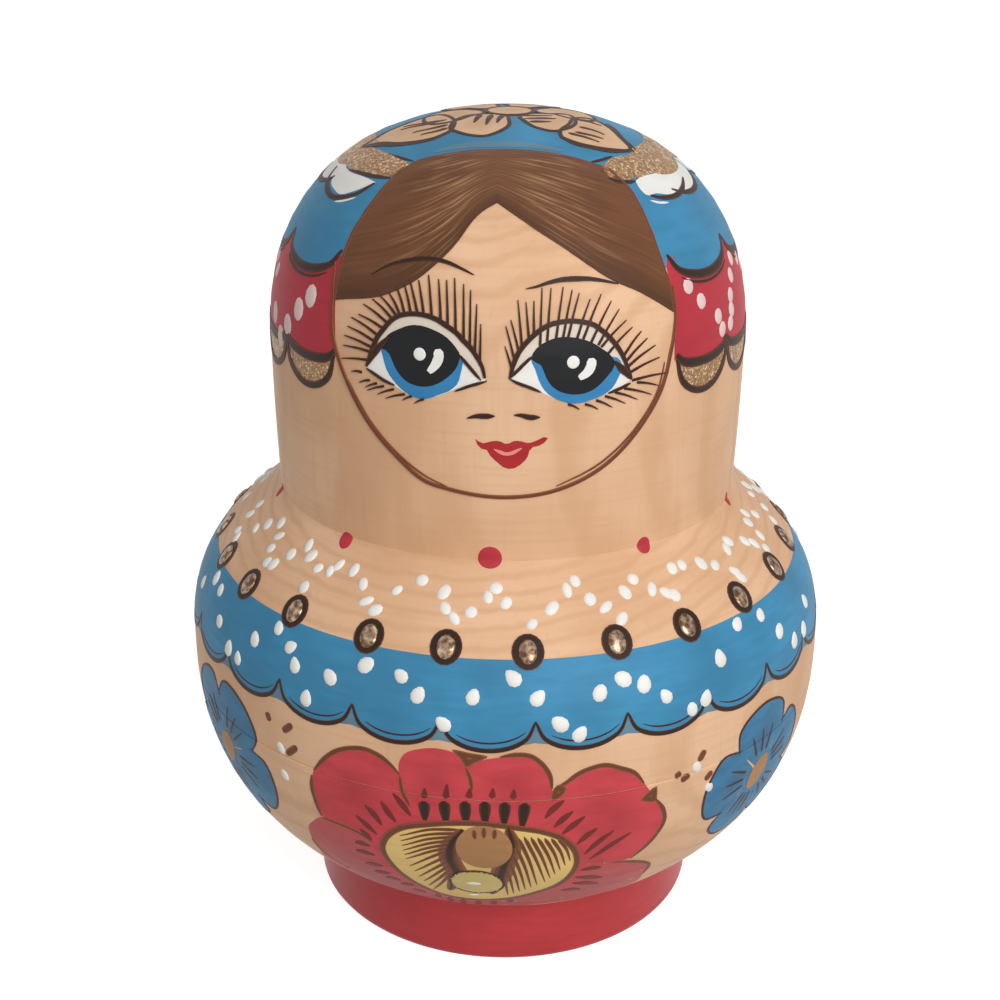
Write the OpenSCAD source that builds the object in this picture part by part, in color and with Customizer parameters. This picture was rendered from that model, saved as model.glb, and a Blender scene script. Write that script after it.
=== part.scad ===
// Matryoshka: a set of round-bellied nesting dolls, turned from basswood.
// Every doll but the smallest is a hollow lower half and a hollow upper half that
// meet at a seam, with a spigot on the lower half and a socket in the upper half.
// The origin is the middle of the largest doll's foot, and +Z points to its crown.

/* [Set] */
// How many dolls are in the set, counting the solid one in the middle
doll_count = 10; // [2:1:11]

/* [Largest doll] */
// Overall height, from the foot to the crown
doll_h = 139; // [120:1:160]
// Widest diameter of the belly
belly_d = 110; // [96:1:124]
// Height of the belly's widest plane
belly_z = 49.2; // [46:0.2:56]
// Diameter of the foot
foot_d = 68.6; // [60:0.2:76]
// Rounding of the foot's lower edge
foot_edge = 1.2; // [0.4:0.1:2]
// Diameter of the head at its widest
head_d = 78.8; // [72:0.2:84]
// Height of the head's widest plane
head_z = 102.5; // [94:0.5:110]
// Diameter of the neck
neck_d = 77.3; // [70:0.1:80]
// Height of the seam between the two halves
seam_z = 45.6; // [42:0.2:52]
// Chamfer of the halves' outer edges at the seam
seam_edge = 0.25; // [0.1:0.05:0.5]

/* [Curves of the largest doll] */
// Depth of the bowl curve, from the widest plane down to where it would close
bowl_h = 45.2; // [43:0.2:52]
// Squareness of the bowl curve, where 2 is an ellipse
bowl_power = 2.25; // [2:0.05:2.6]
// Height of the shoulder curve, from the widest plane up to where it would close
shoulder_h = 30; // [28:0.5:34]
// Squareness of the shoulder curve
shoulder_power = 2.8; // [2.4:0.05:3.2]
// Squareness of the crown
crown_power = 2.35; // [2:0.05:2.8]
// Radial width over which the shoulder runs into the head
neck_blend = 14; // [8:1:20]

/* [Walls and fits] */
// Wall of the largest doll at its belly
outer_wall = 8; // [6:0.1:9]
// Thinnest wall at the belly of any doll
least_wall = 2.5; // [2:0.1:3.2]
// Floor of the largest doll, under the doll inside it
outer_floor = 11; // [8:0.5:12]
// Thinnest floor of any doll
least_floor = 2.2; // [1.5:0.1:3]
// Room between a doll and the hollow that holds it
nest_clearance = 0.7; // [0.3:0.05:1]
// Gap under a doll that stands in another
seat_clearance = 0.05; // [0.02:0.01:0.2]
// Height of the largest doll's spigot
spigot_h = 7; // [5:0.5:9]
// Lowest spigot of any doll
least_spigot_h = 2; // [1.5:0.1:3]
// Radial room between a spigot and its socket
fit_clearance = 0.1; // [0.05:0.01:0.2]
// Room above the end of a spigot, so that the halves close on the seam
end_clearance = 0.5; // [0.3:0.1:1]
// Chamfer at the end of a spigot
spigot_chamfer = 0.4; // [0.2:0.1:0.6]

/* [Hidden] */
// Fineness of the turned surfaces and of the curves that they follow
$fn = 96;
edge_steps = 4;
bowl_steps = 14;
neck_steps = 24;
crown_steps = 14;

wood_colour = "burlywood";
core_colour = "wheat";

belly_r = belly_d / 2;
foot_r = foot_d / 2;
crown_h = doll_h - head_z;

// Heights where the bowl meets the foot and where the shoulder meets the neck
foot_top_z = belly_z - closing(foot_r, bowl_h, bowl_power);
neck_z = belly_z + closing(neck_d / 2, shoulder_h, shoulder_power);

function name(k, half) = str("doll_", k < 10 ? "0" : "", k, "_", half);
solid_name = name(doll_count, "solid");

// Share of its full radius that a rounded curve keeps at a distance from its widest plane
function rounding(distance, height, power) =
    pow(max(0, 1 - pow(distance / height, power)), 1 / power);

// Distance from the widest plane at which a belly curve has closed to radius r
function closing(r, height, power) = height * rounding(r, belly_r, power);

// Larger of two radii, with a soft crease where they are within a width of each other
function soft_max(a, b, width) = max(a, b) + pow(max(0, width - abs(a - b)), 2) / (4 * width);

function belly_radius(z) = belly_r * (z < belly_z
    ? rounding(belly_z - z, bowl_h, bowl_power)
    : rounding(z - belly_z, shoulder_h, shoulder_power));

function head_radius(z) = z < head_z
    ? head_d / 2 - (head_d - neck_d) / 2 * pow((head_z - z) / (head_z - neck_z), 2)
    : head_d / 2 * rounding(z - head_z, crown_h, crown_power);

function body_radius(z) = z < belly_z
    ? belly_radius(z)
    : soft_max(belly_radius(z), head_radius(z), neck_blend);

// Outline of the largest doll, as [radius, height] points: foot, bowl, shoulder and head
foot_outline = concat(
    [[0, 0]],
    [for (i = [0:edge_steps]) let (a = 90 * i / edge_steps)
        [foot_r - foot_edge * (1 - sin(a)), foot_edge * (1 - cos(a))]]
);
bowl_outline = [for (i = [0:bowl_steps])
    let (z = foot_top_z + (belly_z - foot_top_z) * i / bowl_steps) [body_radius(z), z]];
shoulder_outline = [for (i = [1:neck_steps])
    let (z = belly_z + (head_z - belly_z) * i / neck_steps) [body_radius(z), z]];
crown_outline = concat(
    [for (i = [1:crown_steps - 1]) let (z = head_z + crown_h * sin(90 * i / crown_steps))
        [body_radius(z), z]],
    [[0, doll_h]]
);
above_belly = concat(shoulder_outline, crown_outline);
outline = concat(foot_outline, bowl_outline, above_belly);

// Belly radius of doll k: what its neighbour's wall and the room to nest leave
function doll_r(k) = k == 1 ? belly_r : doll_r(k - 1) - wall(k - 1) - nest_clearance;
function size(k) = doll_r(k) / belly_r;
function wall(k) = max(least_wall, outer_wall * size(k));
function floor_t(k) = max(least_floor, outer_floor * size(k));
function spigot(k) = max(least_spigot_h, spigot_h * size(k));

// Height at which doll k stands, on the floor of the doll around it
function stand_z(k) = k == 1 ? 0 : stand_z(k - 1) + floor_t(k - 1) + seat_clearance;

function seam(k) = seam_z * size(k);

// Outline of the largest doll below and above its seam, with the seam's chamfers
below_seam = concat(
    [for (p = outline) if (p.y < seam_z - seam_edge) p],
    [[body_radius(seam_z - seam_edge), seam_z - seam_edge], [body_radius(seam_z) - seam_edge, seam_z]]
);
above_seam = concat(
    [[body_radius(seam_z) - seam_edge, seam_z], [body_radius(seam_z + seam_edge), seam_z + seam_edge]],
    [for (p = outline) if (p.y > seam_z + seam_edge) p]
);

function spigot_r(k) = doll_r(k + 1) + nest_clearance + wall(k) / 2;
function spigot_top(k) = seam(k) + spigot(k);
function socket_top(k) = spigot_top(k) + end_clearance;

// Points of a curve moved outwards by a distance, square to the curve
function widened(points, distance) = let (last = len(points) - 1) [for (i = [0:last])
    let (along = points[min(i + 1, last)] - points[max(i - 1, 0)])
    points[i] + distance * [along.y, -along.x] / norm(along)];

// Hollow of doll k around the doll inside it, as [height, radius] pairs from the foot
// to the belly and from the belly to the crown. It opens towards the seam, so that the
// inner doll lifts out and the upper half lifts off, and it has a round seat for the foot.
function nested(k, points) = [for (p = widened(points * size(k + 1), nest_clearance))
    [p.y + floor_t(k) + seat_clearance, p.x]];
function seat_r(k) = foot_r * size(k + 1) + nest_clearance;
function bowl_hollow(k) = [for (p = nested(k, bowl_outline)) [p.x, max(p.y, seat_r(k))]];
function crown_hollow(k) = let (
    inner = nested(k, concat([bowl_outline[bowl_steps]], above_belly)),
    last = len(inner) - 1
) [for (i = [0:last]) [inner[i].x, i == last ? 0 : max([for (j = [i:last]) inner[j].y])]];

// A pair of height and radius turned round into a point of an outline
function turned(pairs) = [for (p = pairs) [p.y, p.x]];
function reversed(list) = [for (i = [len(list) - 1:-1:0]) list[i]];

module revolve(points) {
    rotate_extrude() polygon(points);
}

module lower_half(k) {
    hollow = bowl_hollow(k);
    top = spigot_top(k);
    chamfer = spigot_chamfer * size(k);
    color(wood_colour) translate([0, 0, stand_z(k)]) revolve(concat(
        below_seam * size(k),
        [
            [spigot_r(k), seam(k)],
            [spigot_r(k), top - chamfer],
            [spigot_r(k) - chamfer, top],
            [lookup(top, hollow), top]
        ],
        reversed(turned([for (p = hollow) if (p.x < top && p.x > floor_t(k)) p])),
        [[seat_r(k), floor_t(k)], [0, floor_t(k)]]
    ));
}

module upper_half(k) {
    hollow = crown_hollow(k);
    ceiling = socket_top(k);
    socket_r = spigot_r(k) + fit_clearance;
    color(wood_colour) translate([0, 0, stand_z(k)]) revolve(concat(
        above_seam * size(k),
        reversed(turned([for (p = hollow) if (p.x > ceiling) p])),
        [
            [lookup(ceiling, hollow), ceiling],
            [socket_r, ceiling],
            [socket_r, seam(k)]
        ]
    ));
}

module solid_doll(k) {
    color(core_colour) translate([0, 0, stand_z(k)]) revolve(outline * size(k));
}

for (k = [1:doll_count - 1]) {
    lower_half(k);
    upper_half(k);
}
solid_doll(doll_count);
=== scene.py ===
import math
import random
from bisect import bisect_right
from functools import lru_cache
from itertools import accumulate

import bmesh
import bpy
from bpy.props import FloatProperty, FloatVectorProperty, IntProperty, PointerProperty
from mathutils import Matrix, Vector
from mathutils.bvhtree import BVHTree
from mathutils.kdtree import KDTree


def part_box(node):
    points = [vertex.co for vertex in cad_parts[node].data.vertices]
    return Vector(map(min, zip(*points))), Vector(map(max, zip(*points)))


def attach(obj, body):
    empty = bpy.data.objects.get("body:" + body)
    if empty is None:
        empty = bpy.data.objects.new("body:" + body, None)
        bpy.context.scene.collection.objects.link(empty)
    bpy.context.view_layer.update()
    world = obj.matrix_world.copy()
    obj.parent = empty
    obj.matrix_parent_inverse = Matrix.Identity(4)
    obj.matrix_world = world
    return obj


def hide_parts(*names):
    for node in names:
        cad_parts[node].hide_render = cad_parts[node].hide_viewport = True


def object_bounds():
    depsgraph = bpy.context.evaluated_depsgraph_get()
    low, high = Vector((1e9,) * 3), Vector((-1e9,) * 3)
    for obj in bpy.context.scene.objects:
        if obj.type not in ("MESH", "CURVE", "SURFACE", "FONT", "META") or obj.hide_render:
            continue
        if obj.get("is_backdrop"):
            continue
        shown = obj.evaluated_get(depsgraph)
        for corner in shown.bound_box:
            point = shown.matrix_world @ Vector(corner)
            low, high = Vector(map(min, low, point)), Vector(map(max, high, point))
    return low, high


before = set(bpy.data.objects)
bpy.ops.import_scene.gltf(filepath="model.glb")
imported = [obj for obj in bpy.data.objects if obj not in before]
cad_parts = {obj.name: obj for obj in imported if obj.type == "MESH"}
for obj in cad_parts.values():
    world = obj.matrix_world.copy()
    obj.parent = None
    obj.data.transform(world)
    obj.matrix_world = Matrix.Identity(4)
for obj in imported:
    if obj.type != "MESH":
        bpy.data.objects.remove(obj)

bl_info = {
    "name": "Painted nesting dolls",
    "version": (1, 0, 0),
    "blender": (4, 5, 0),
    "location": "View3D > Sidebar > Nesting Dolls",
    "description": "Paints and lights a set of turned wooden nesting dolls",
    "category": "Add Mesh",
}

CAD_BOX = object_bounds()
MM = 1000
HALVES = ("lower", "upper")

# On the largest doll, in millimetres: the broken edge at the seam that the outline skips, half the gap
# in the paint there, and the widest spacing of the paint's mesh
SEAM_EDGE = 0.375
PAINT_GAP = 0.08
COARSEST_STEP = 3.0

# A mesh's rows beside its columns, corners that are one in metres, and the angle of a sharp edge
ROW_TO_COLUMN = 1.4
MERGE = 1e-6
SHARP = math.radians(40)


def linear(hex_colour):
    """Linear red, green and blue of an sRGB colour written as #RRGGBB."""
    shares = [int(hex_colour[i:i + 2], 16) / 255 for i in (1, 3, 5)]
    return [c / 12.92 if c <= 0.04045 else ((c + 0.055) / 1.055) ** 2.4 for c in shares]


def size_property(name, description, default):
    """A length in metres that a user may change."""
    return FloatProperty(
        name=name, description=description, default=default, min=0, unit="LENGTH", precision=5)


def colour_property(name, description, hex_colour):
    """A colour that a user may change."""
    return FloatVectorProperty(
        name=name, description=description, subtype="COLOR", size=3, min=0, max=1,
        default=linear(hex_colour))


class NestingDollSizes(bpy.types.PropertyGroup):
    """Sizes of the paint on the largest doll."""

    coat: size_property("Coat", "Thickness of one coat of paint", 0.00004)
    step: size_property("Step", "Spacing of the paint's mesh on the largest doll", 0.0009)
    line: size_property("Line", "Width of a burnt outline", 0.0009)
    lash: size_property("Lash", "Width of an eyelash", 0.00038)
    bead: size_property("Bead", "Height of a bead's oval", 0.0051)
    drop: size_property("Drop", "Length of a white drop on the band", 0.0028)
    lace: size_property("Lace dot", "Length of a white dot of the lace", 0.0021)
    bead_count: IntProperty(name="Beads", description="Beads round the shoulder", default=24, min=3)


class NestingDollColours(bpy.types.PropertyGroup):
    """Colours of the wood and of the paints."""

    wood: colour_property("Wood", "Varnished basswood", "#EDC29D")
    wood_dark: colour_property("Wood grain", "Darker streaks of the basswood", "#D6A67E")
    blue: colour_property("Blue", "Scarf and shoulder band", "#4692BC")
    blue_deep: colour_property("Deep blue", "Thicker strokes of the blue", "#3D7C9F")
    flower_blue: colour_property("Flower blue", "Side flowers", "#4282AB")
    red: colour_property("Red", "Scarf panels and chest", "#C23C48")
    petal: colour_property("Petal", "Red flower", "#D24C53")
    foot: colour_property("Foot", "Red of the foot", "#C64045")
    hair: colour_property("Hair", "Brown wash of the hair", "#72482F")
    hair_light: colour_property("Hair streaks", "Strands scraped back to the wood", "#B48A64")
    burnt: colour_property("Burnt", "Lines drawn with a hot point", "#2C1C14")
    scorch: colour_property("Scorch", "Lines scorched brown", "#6C3E2A")
    white: colour_property("White", "White paint", "#F6F4EE")
    pink: colour_property("Pink", "Dots on the red panels", "#F2D5CF")
    iris: colour_property("Iris", "Blue of the eyes", "#3F8CC2")
    black: colour_property("Black", "Pupils", "#17181A")
    yellow: colour_property("Yellow", "Heart of the red flower", "#F4D083")
    tan: colour_property("Tan", "Knob in the middle of the flowers", "#B8885C")
    bronze: colour_property("Bronze", "Glitter on the scarf and the beads", "#9C7048")
    floor: colour_property("Floor", "Floor, before the camera sees it lifted to white", "#B9B7B4")


# Camera of the photograph, found from the doll's outline in its frame: sensor and lens in millimetres,
# distances in metres, and angles in radians. A place may be written a few pixels past the doll's edge
PHOTO_PIXELS = 1000
PIXELS_PAST_EDGE = 60
SENSOR = 36.0
LENS = 59.43
SHIFT = (-0.00631, 0.01245)
EYE_DISTANCE = 0.290
EYE_ELEVATION = math.radians(22.99)
EYE_ROLL = 0.0086
TARGET = Vector((0, 0, 0.0696))
EYE = TARGET + EYE_DISTANCE * Vector((0, -math.cos(EYE_ELEVATION), math.sin(EYE_ELEVATION)))
LOOK = (TARGET - EYE).to_track_quat("-Z", "Y").to_matrix() @ Matrix.Rotation(EYE_ROLL, 3, "Z")


# Stage, in metres: half the floor, how far the camera sees it lifted to white, the strength of the room's
# own light, and each lamp's name, place, size and watts
FLOOR_HALF = 6.0
FLOOR_LIFT = 0.86
ROOM_LIGHT = 0.28
LAMPS = [
    ("key_softbox", (0.34, -0.62, 0.44), 0.45, 4.0),
    ("fill_softbox", (-0.55, -0.50, 0.30), 0.60, 0.6),
    ("top_softbox", (0.10, -0.05, 0.80), 0.60, 0.8),
]


# The frame's dolls and the outside of the largest one
class Doll:
    """One doll of the set: its size beside the largest, where it stands, and its bodies."""

    def __init__(self, number):
        self.name = f"doll_{number:02d}"
        self.nodes = [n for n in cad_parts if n.startswith(self.name)]
        boxes = [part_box(n) for n in self.nodes]
        self.stand = min(low.z for low, high in boxes)
        self.height = max(high.z for low, high in boxes) - self.stand
        self.scale = 1.0
        self.halves = HALVES if len(self.nodes) > 1 else ("solid",)

    def body(self, half):
        """The node and body of a half, or of the whole solid doll."""
        return f"{self.name}_{half}"


DOLLS = [Doll(k + 1) for k in range((len(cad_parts) + 1) // 2)]
LARGEST = DOLLS[0]
for doll in DOLLS:
    doll.scale = doll.height / LARGEST.height
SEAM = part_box(LARGEST.body("upper"))[0].z * MM
HEIGHT = LARGEST.height * MM


def frame_tree():
    """Faces of the largest doll's two halves, in millimetres, to cast rays at."""
    corners, faces = [], []
    for node in LARGEST.nodes:
        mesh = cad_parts[node].data
        first = len(corners)
        corners += [v.co * MM for v in mesh.vertices]
        faces += [[first + i for i in p.vertices] for p in mesh.polygons]
    return corners, BVHTree.FromPolygons(corners, faces)


def outside(corners, tree):
    """Outline of the largest doll as radius and height, from its foot's middle to its crown."""
    widest = max(corners, key=lambda p: p.xy.length)
    meridian = widest.xy.normalized()
    heart = HEIGHT / 2
    samples = 1500
    nearly_half_turn = math.radians(179.96)
    outline = []
    for i in range(samples + 1):
        lean = nearly_half_turn * (i / samples - 0.5)
        out = Vector((*(meridian * math.cos(lean)), math.sin(lean)))
        hit = tree.ray_cast(Vector((0, 0, heart)) + out * HEIGHT, -out)[0]
        if abs(hit.z - SEAM) > SEAM_EDGE:
            outline.append(Vector((hit.xy.length, hit.z)))
    return outline


WOOD_CORNERS, WOOD_TREE = frame_tree()
OUTLINE = outside(WOOD_CORNERS, WOOD_TREE)
ALONG = [0.0, *accumulate((b - a).length for a, b in zip(OUTLINE, OUTLINE[1:]))]
NEAREST = KDTree(len(OUTLINE))
for index, point in enumerate(OUTLINE):
    NEAREST.insert((point.x, point.y, 0), index)
NEAREST.balance()


def tangent(index):
    """Direction of the outline at one of its samples, evened over its neighbours."""
    reach = 8
    return (OUTLINE[min(index + reach, len(OUTLINE) - 1)] - OUTLINE[max(index - reach, 0)]).normalized()


TANGENTS = [tangent(i) for i in range(len(OUTLINE))]


def seat(place, lift=0.0):
    """The point on the wood nearest to a place, raised by a lift, and the way out of the wood there."""
    around = place.xy.normalized() if place.xy.length > 1e-6 else Vector((0, -1))
    flat = Vector((place.xy.length, place.z))
    index = NEAREST.find((flat.x, flat.y, 0))[1]
    along = TANGENTS[index]
    out = Vector((along.y, -along.x))
    spot = OUTLINE[index] + along * (flat - OUTLINE[index]).dot(along) + out * lift
    return Vector((*(around * max(spot.x, 0)), spot.y)), Vector((*(around * out.x), out.y))


def wood(angle, reach):
    """The point on the wood at an angle to the right of the front, a length up the outline."""
    index = min(max(bisect_right(ALONG, reach) - 1, 0), len(OUTLINE) - 2)
    share = (reach - ALONG[index]) / (ALONG[index + 1] - ALONG[index])
    spot = OUTLINE[index].lerp(OUTLINE[index + 1], share)
    turn = math.radians(angle)
    return Vector((spot.x * math.sin(turn), -spot.x * math.cos(turn), spot.y))


HEIGHTS = [p.y for p in OUTLINE]


def up_to(height):
    """Length up the outline to a height."""
    return ALONG[min(bisect_right(HEIGHTS, height), len(ALONG) - 1)]


@lru_cache(maxsize=None)
def photo_spot(pixel):
    """The point on the wood that the photograph shows at a pixel; past the edge, the last one inside."""
    x, y = pixel
    for inward in range(PIXELS_PAST_EDGE):
        reach = x + math.copysign(inward, PHOTO_PIXELS / 2 - x)
        across = (reach / PHOTO_PIXELS - 0.5 + SHIFT[0]) * SENSOR / LENS
        up = (0.5 - y / PHOTO_PIXELS + SHIFT[1]) * SENSOR / LENS
        hit = WOOD_TREE.ray_cast(EYE * MM, LOOK @ Vector((across, up, -1)))[0]
        if hit is not None:
            return seat(hit)[0]
    raise RuntimeError(f"no wood at pixel {pixel}")


def photo_spots(pixels):
    """The points on the wood that the photograph shows at pixels."""
    return [photo_spot(p) for p in pixels]


def angle_of(place):
    """Angle of a place from the front, in degrees to the right."""
    return math.degrees(math.atan2(place.x, -place.y))


def axes(place):
    """Right, up and out on the wood at a place, seen from outside."""
    out = seat(place)[1]
    right = Vector((0, 0, 1)).cross(out)
    right = right.normalized() if right.length > 1e-3 else Vector((1, 0, 0))
    return right, out.cross(right), out


# Curves and coats of paint
class Flow:
    """A smooth curve through points, called with 0 to 1 along it."""

    def __init__(self, points, closed=False):
        self.points = [Vector(p) for p in points]
        if closed:
            self.points.append(self.points[0])
        self.gaps = [max((b - a).length, 1e-6) for a, b in zip(self.points, self.points[1:])]
        self.marks = [0.0, *accumulate(self.gaps)]
        self.length = self.marks[-1]
        self.slopes = [self.slope(i, closed) for i in range(len(self.points))]

    def slope(self, i, closed):
        """Direction through point i, weighed by how near its neighbours are."""
        last = len(self.points) - 1
        if i in (0, last) and not closed:
            a = min(i, last - 1)
            return (self.points[a + 1] - self.points[a]) / self.gaps[a]
        before = (i - 1) % last
        after = i % last
        back = (self.points[before + 1] - self.points[before]) / self.gaps[before]
        on = (self.points[after + 1] - self.points[after]) / self.gaps[after]
        return (back * self.gaps[after] + on * self.gaps[before]) / (self.gaps[before] + self.gaps[after])

    def __call__(self, share):
        """The point at a share of the length, on the cubic between the two points beside it."""
        reach = min(max(share, 0), 1) * self.length
        i = min(bisect_right(self.marks, reach) - 1, len(self.gaps) - 1)
        gap = self.gaps[i]
        t = (reach - self.marks[i]) / gap
        a, b = self.points[i], self.points[i + 1]
        m, n = self.slopes[i] * gap, self.slopes[i + 1] * gap
        return (a * (1 + 2 * t) + m * t) * (1 - t) ** 2 + (b * (3 - 2 * t) + n * (t - 1)) * t * t


def swell(share, power=2.0):
    """A rounded hump: 0 at both ends of 0 to 1, and 1 in the middle."""
    return max(0, 1 - abs(2 * share - 1) ** power) ** (1 / power)


def tapered(share, start=0.25, end=0.25, least=0.25):
    """Share of its full width that a stroke has along it."""
    rise = min(1, share / start if start else 1, (1 - share) / end if end else 1)
    return least + (1 - least) * max(rise, 0) ** 0.7


class Paintbox:
    """The pieces of paint on one doll, each of one finish, on the doll's halves."""

    def __init__(self, doll):
        self.doll = doll
        self.pieces = {}

    def coat(self, name, finish, level):
        """A coat of paint in a named piece; on a smaller doll all paint of one finish is one piece."""
        if self.doll is not LARGEST:
            name = finish = finish if self.doll.scale > FEW_PAINTS else PLAINER.get(finish, finish)
        if name not in self.pieces:
            self.pieces[name] = finish, {half: bmesh.new() for half in self.doll.halves}
            for paint in self.pieces[name][1].values():
                paint.loops.layers.uv.verify()
        return Coat(self.doll, self.pieces[name][1], level)

    def some(self, strokes):
        """Fine strokes as they are, or every second one on a doll too small for them all."""
        return strokes[::1 if self.doll.scale > FEW_STROKES else 2]

    def done(self):
        """Puts each piece on its half of the doll, or on both where the seam cuts it."""
        for name, (finish, halves) in self.pieces.items():
            painted = {half: paint for half, paint in halves.items() if paint.faces}
            if not painted:
                raise RuntimeError(f"no paint in {name} on {self.doll.name}")
            for half, paint in painted.items():
                bmesh.ops.scale(paint, vec=Vector((1, 1, 1)) * self.doll.scale / MM, verts=paint.verts)
                bmesh.ops.translate(paint, vec=(0, 0, self.doll.stand), verts=paint.verts)
                suffix = f"_{half}" if len(painted) > 1 else ""
                show(paint, f"{self.doll.name}_{name}{suffix}", finish, self.doll.body(half))


class Coat:
    """A coat of paint in one piece, laid on the largest doll's surface in millimetres."""

    def __init__(self, doll, halves, level):
        sizes = bpy.context.scene.nesting_doll_sizes
        self.halves = halves
        self.thickness = sizes.coat * MM / doll.scale
        self.lift = self.thickness * level
        self.step = min(sizes.step * MM / doll.scale ** 1.5, COARSEST_STEP)
        self.fineness = 2 if doll.scale > FEW_STROKES else 1

    def at(self, level):
        """The same piece at another level."""
        self.lift = self.thickness * level
        return self

    def add(self, paint, half):
        """Adds finished paint to the piece's half."""
        mesh = bpy.data.meshes.new("paint")
        paint.to_mesh(mesh)
        paint.free()
        self.halves[half].from_mesh(mesh)
        bpy.data.meshes.remove(mesh)

    def lay(self, place, length, width, closed=False, least=1):
        """Lays a slab of paint whose point u, v rests on the wood at place(u, v), parted at the seam."""
        columns = max(2, math.ceil(length / self.step))
        rows = max(least, math.ceil(width / self.step / ROW_TO_COLUMN))
        sheet = bmesh.new()
        sheet.loops.layers.uv.verify()
        bmesh.ops.create_grid(sheet, x_segments=columns, y_segments=rows, size=0.5, calc_uvs=True)
        for vert in sheet.verts:
            vert.co = seat(place(vert.co.x + 0.5, vert.co.y + 0.5), self.lift)[0]
        if closed:
            bmesh.ops.remove_doubles(sheet, verts=sheet.verts, dist=1e-3)
        sheet.normal_update()
        samples = list(sheet.faces)[::max(1, len(sheet.faces) // 60)]
        if sum(f.normal.dot(seat(f.calc_center_median())[1]) * f.calc_area() for f in samples) < 0:
            bmesh.ops.reverse_faces(sheet, faces=sheet.faces)
        lowest, highest = (pick(v.co.z for v in sheet.verts) for pick in (min, max))
        for half in self.halves:
            side = {"upper": 1, "lower": -1}.get(half, 0)
            if side and (highest if side > 0 else -lowest) <= SEAM * side + PAINT_GAP:
                continue
            slab = sheet.copy()
            if side and lowest < SEAM < highest:
                bmesh.ops.bisect_plane(
                    slab, geom=[*slab.verts, *slab.edges, *slab.faces], clear_inner=True,
                    plane_co=(0, 0, SEAM + side * PAINT_GAP), plane_no=(0, 0, side))
            under = bmesh.ops.extrude_face_region(slab, geom=list(slab.faces), use_keep_orig=True)["geom"]
            for vert in (v for v in under if isinstance(v, bmesh.types.BMVert)):
                vert.co = seat(vert.co, -self.thickness)[0]
            bmesh.ops.recalc_face_normals(slab, faces=list(slab.faces))
            self.add(slab, half)
        sheet.free()

    def patch(self, top, bottom, start=None, end=None):
        """Lays a four-sided sheet between two edges, with its ends straight or along curves."""
        upper, lower = Flow(top), Flow(bottom)
        first = Flow(start or [upper(0), lower(0)])
        last = Flow(end or [upper(1), lower(1)])

        def place(u, v):
            ruled = upper(u) * (1 - v) + lower(u) * v + first(v) * (1 - u) + last(v) * u
            high = upper(0) * (1 - u) + upper(1) * u
            low = lower(0) * (1 - u) + lower(1) * u
            return ruled - high * (1 - v) - low * v

        middle = max((upper(u) - lower(u)).length for u in (0.25, 0.5, 0.75))
        self.lay(place, max(upper.length, lower.length), max(first.length, last.length, middle), least=2)

    def disc(self, outline, centre=None):
        """Fills a closed outline, with v running from its rim to its middle."""
        rim = Flow(outline, closed=True)
        middle = centre or sum(outline, Vector()) / len(outline)
        width = max((p - middle).length for p in outline)
        self.lay(lambda u, v: rim(u).lerp(middle, v), rim.length, width, closed=True, least=2)

    def ring(self, upper, lower, start=(0, 0), end=(360, 360), rows=1):
        """Lays a band round the doll between two edges, each a length up the outline at an angle."""
        whole = end[0] - start[0] >= 360

        def place(u, v):
            low, high = (p[0] * (1 - v) + p[1] * v for p in (start, end))
            angle = low + (high - low) * u
            return wood(angle, upper(angle) * (1 - v) + lower(angle) * v)

        angles = range(int(start[0]), int(end[0]) + 1, 2)
        radius = max(wood(0, edge(a)).xy.length for edge in (upper, lower) for a in angles)
        width = max(abs(upper(a) - lower(a)) for a in angles)
        self.lay(place, math.radians(end[0] - start[0]) * radius, width, closed=whole, least=rows)

    def stroke(self, points, width, closed=False, **taper):
        """Draws a line of a width through points, thinner towards its ends."""
        path = Flow(points, closed)
        # The line's direction is read between two points a little apart, as shares of its length
        nudge = min(0.02, 0.3 / max(path.length, 1))

        def place(u, v):
            centre = path(u)
            before, after = ((u - nudge) % 1, (u + nudge) % 1) if closed else (u - nudge, u + nudge)
            side = (path(after) - path(before)).cross(seat(centre)[1]).normalized()
            broad = width * (1 if closed else tapered(u, **taper))
            return centre + side * broad * (v - 0.5)

        self.lay(place, path.length + 3 * self.step, width, closed=closed, least=2)

    def dot(self, centre, across, along, height, turn=0.0, tail=0.0, fine=0):
        """Sets a raised dot, with a tail that draws its top to a point."""
        right, up = turned_axes(centre, turn)
        ball = bmesh.new()
        bmesh.ops.create_icosphere(ball, subdivisions=self.fineness + fine, radius=1)
        for vert in ball.verts:
            x, y, z = vert.co
            # The tail starts a little under the middle, and the underside is cut flat in the wood
            slim = 1 - tail * max(0, (y + 0.4) / 1.4) ** 1.2
            flat = centre + right * x * slim * across / 2 + up * y * along / 2
            vert.co = seat(flat, max(z, -0.3) * height * (1 - 0.4 * tail * max(0, y)) + self.lift)[0]
        half = "upper" if centre.z > SEAM else "lower"
        self.add(ball, half if half in self.halves else "solid")


def turned_axes(centre, turn):
    """Right and up on the wood at a place, turned anticlockwise by an angle in degrees."""
    right, up, out = axes(centre)
    lean = math.radians(turn)
    return (right * math.cos(lean) + up * math.sin(lean), up * math.cos(lean) - right * math.sin(lean))


def show(form, name, finish, body):
    """Turns a form in metres into a piece with a finish that rides on a body."""
    form.normal_update()
    for face in form.faces:
        face.smooth = True
    for edge in form.edges:
        if edge.is_manifold and edge.calc_face_angle() > SHARP:
            edge.smooth = False
    mesh = bpy.data.meshes.new(name)
    form.to_mesh(mesh)
    form.free()
    piece = bpy.data.objects.new(name, mesh)
    bpy.context.scene.collection.objects.link(piece)
    make, slot = FINISHES[finish]
    mesh.materials.append(make())
    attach(piece, body)
    return piece


# Finishes
def rgba(colour):
    """Red, green, blue and alpha of a colour, or of a number as a grey."""
    return (colour, colour, colour, 1) if isinstance(colour, float) else (*colour, 1)


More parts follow.
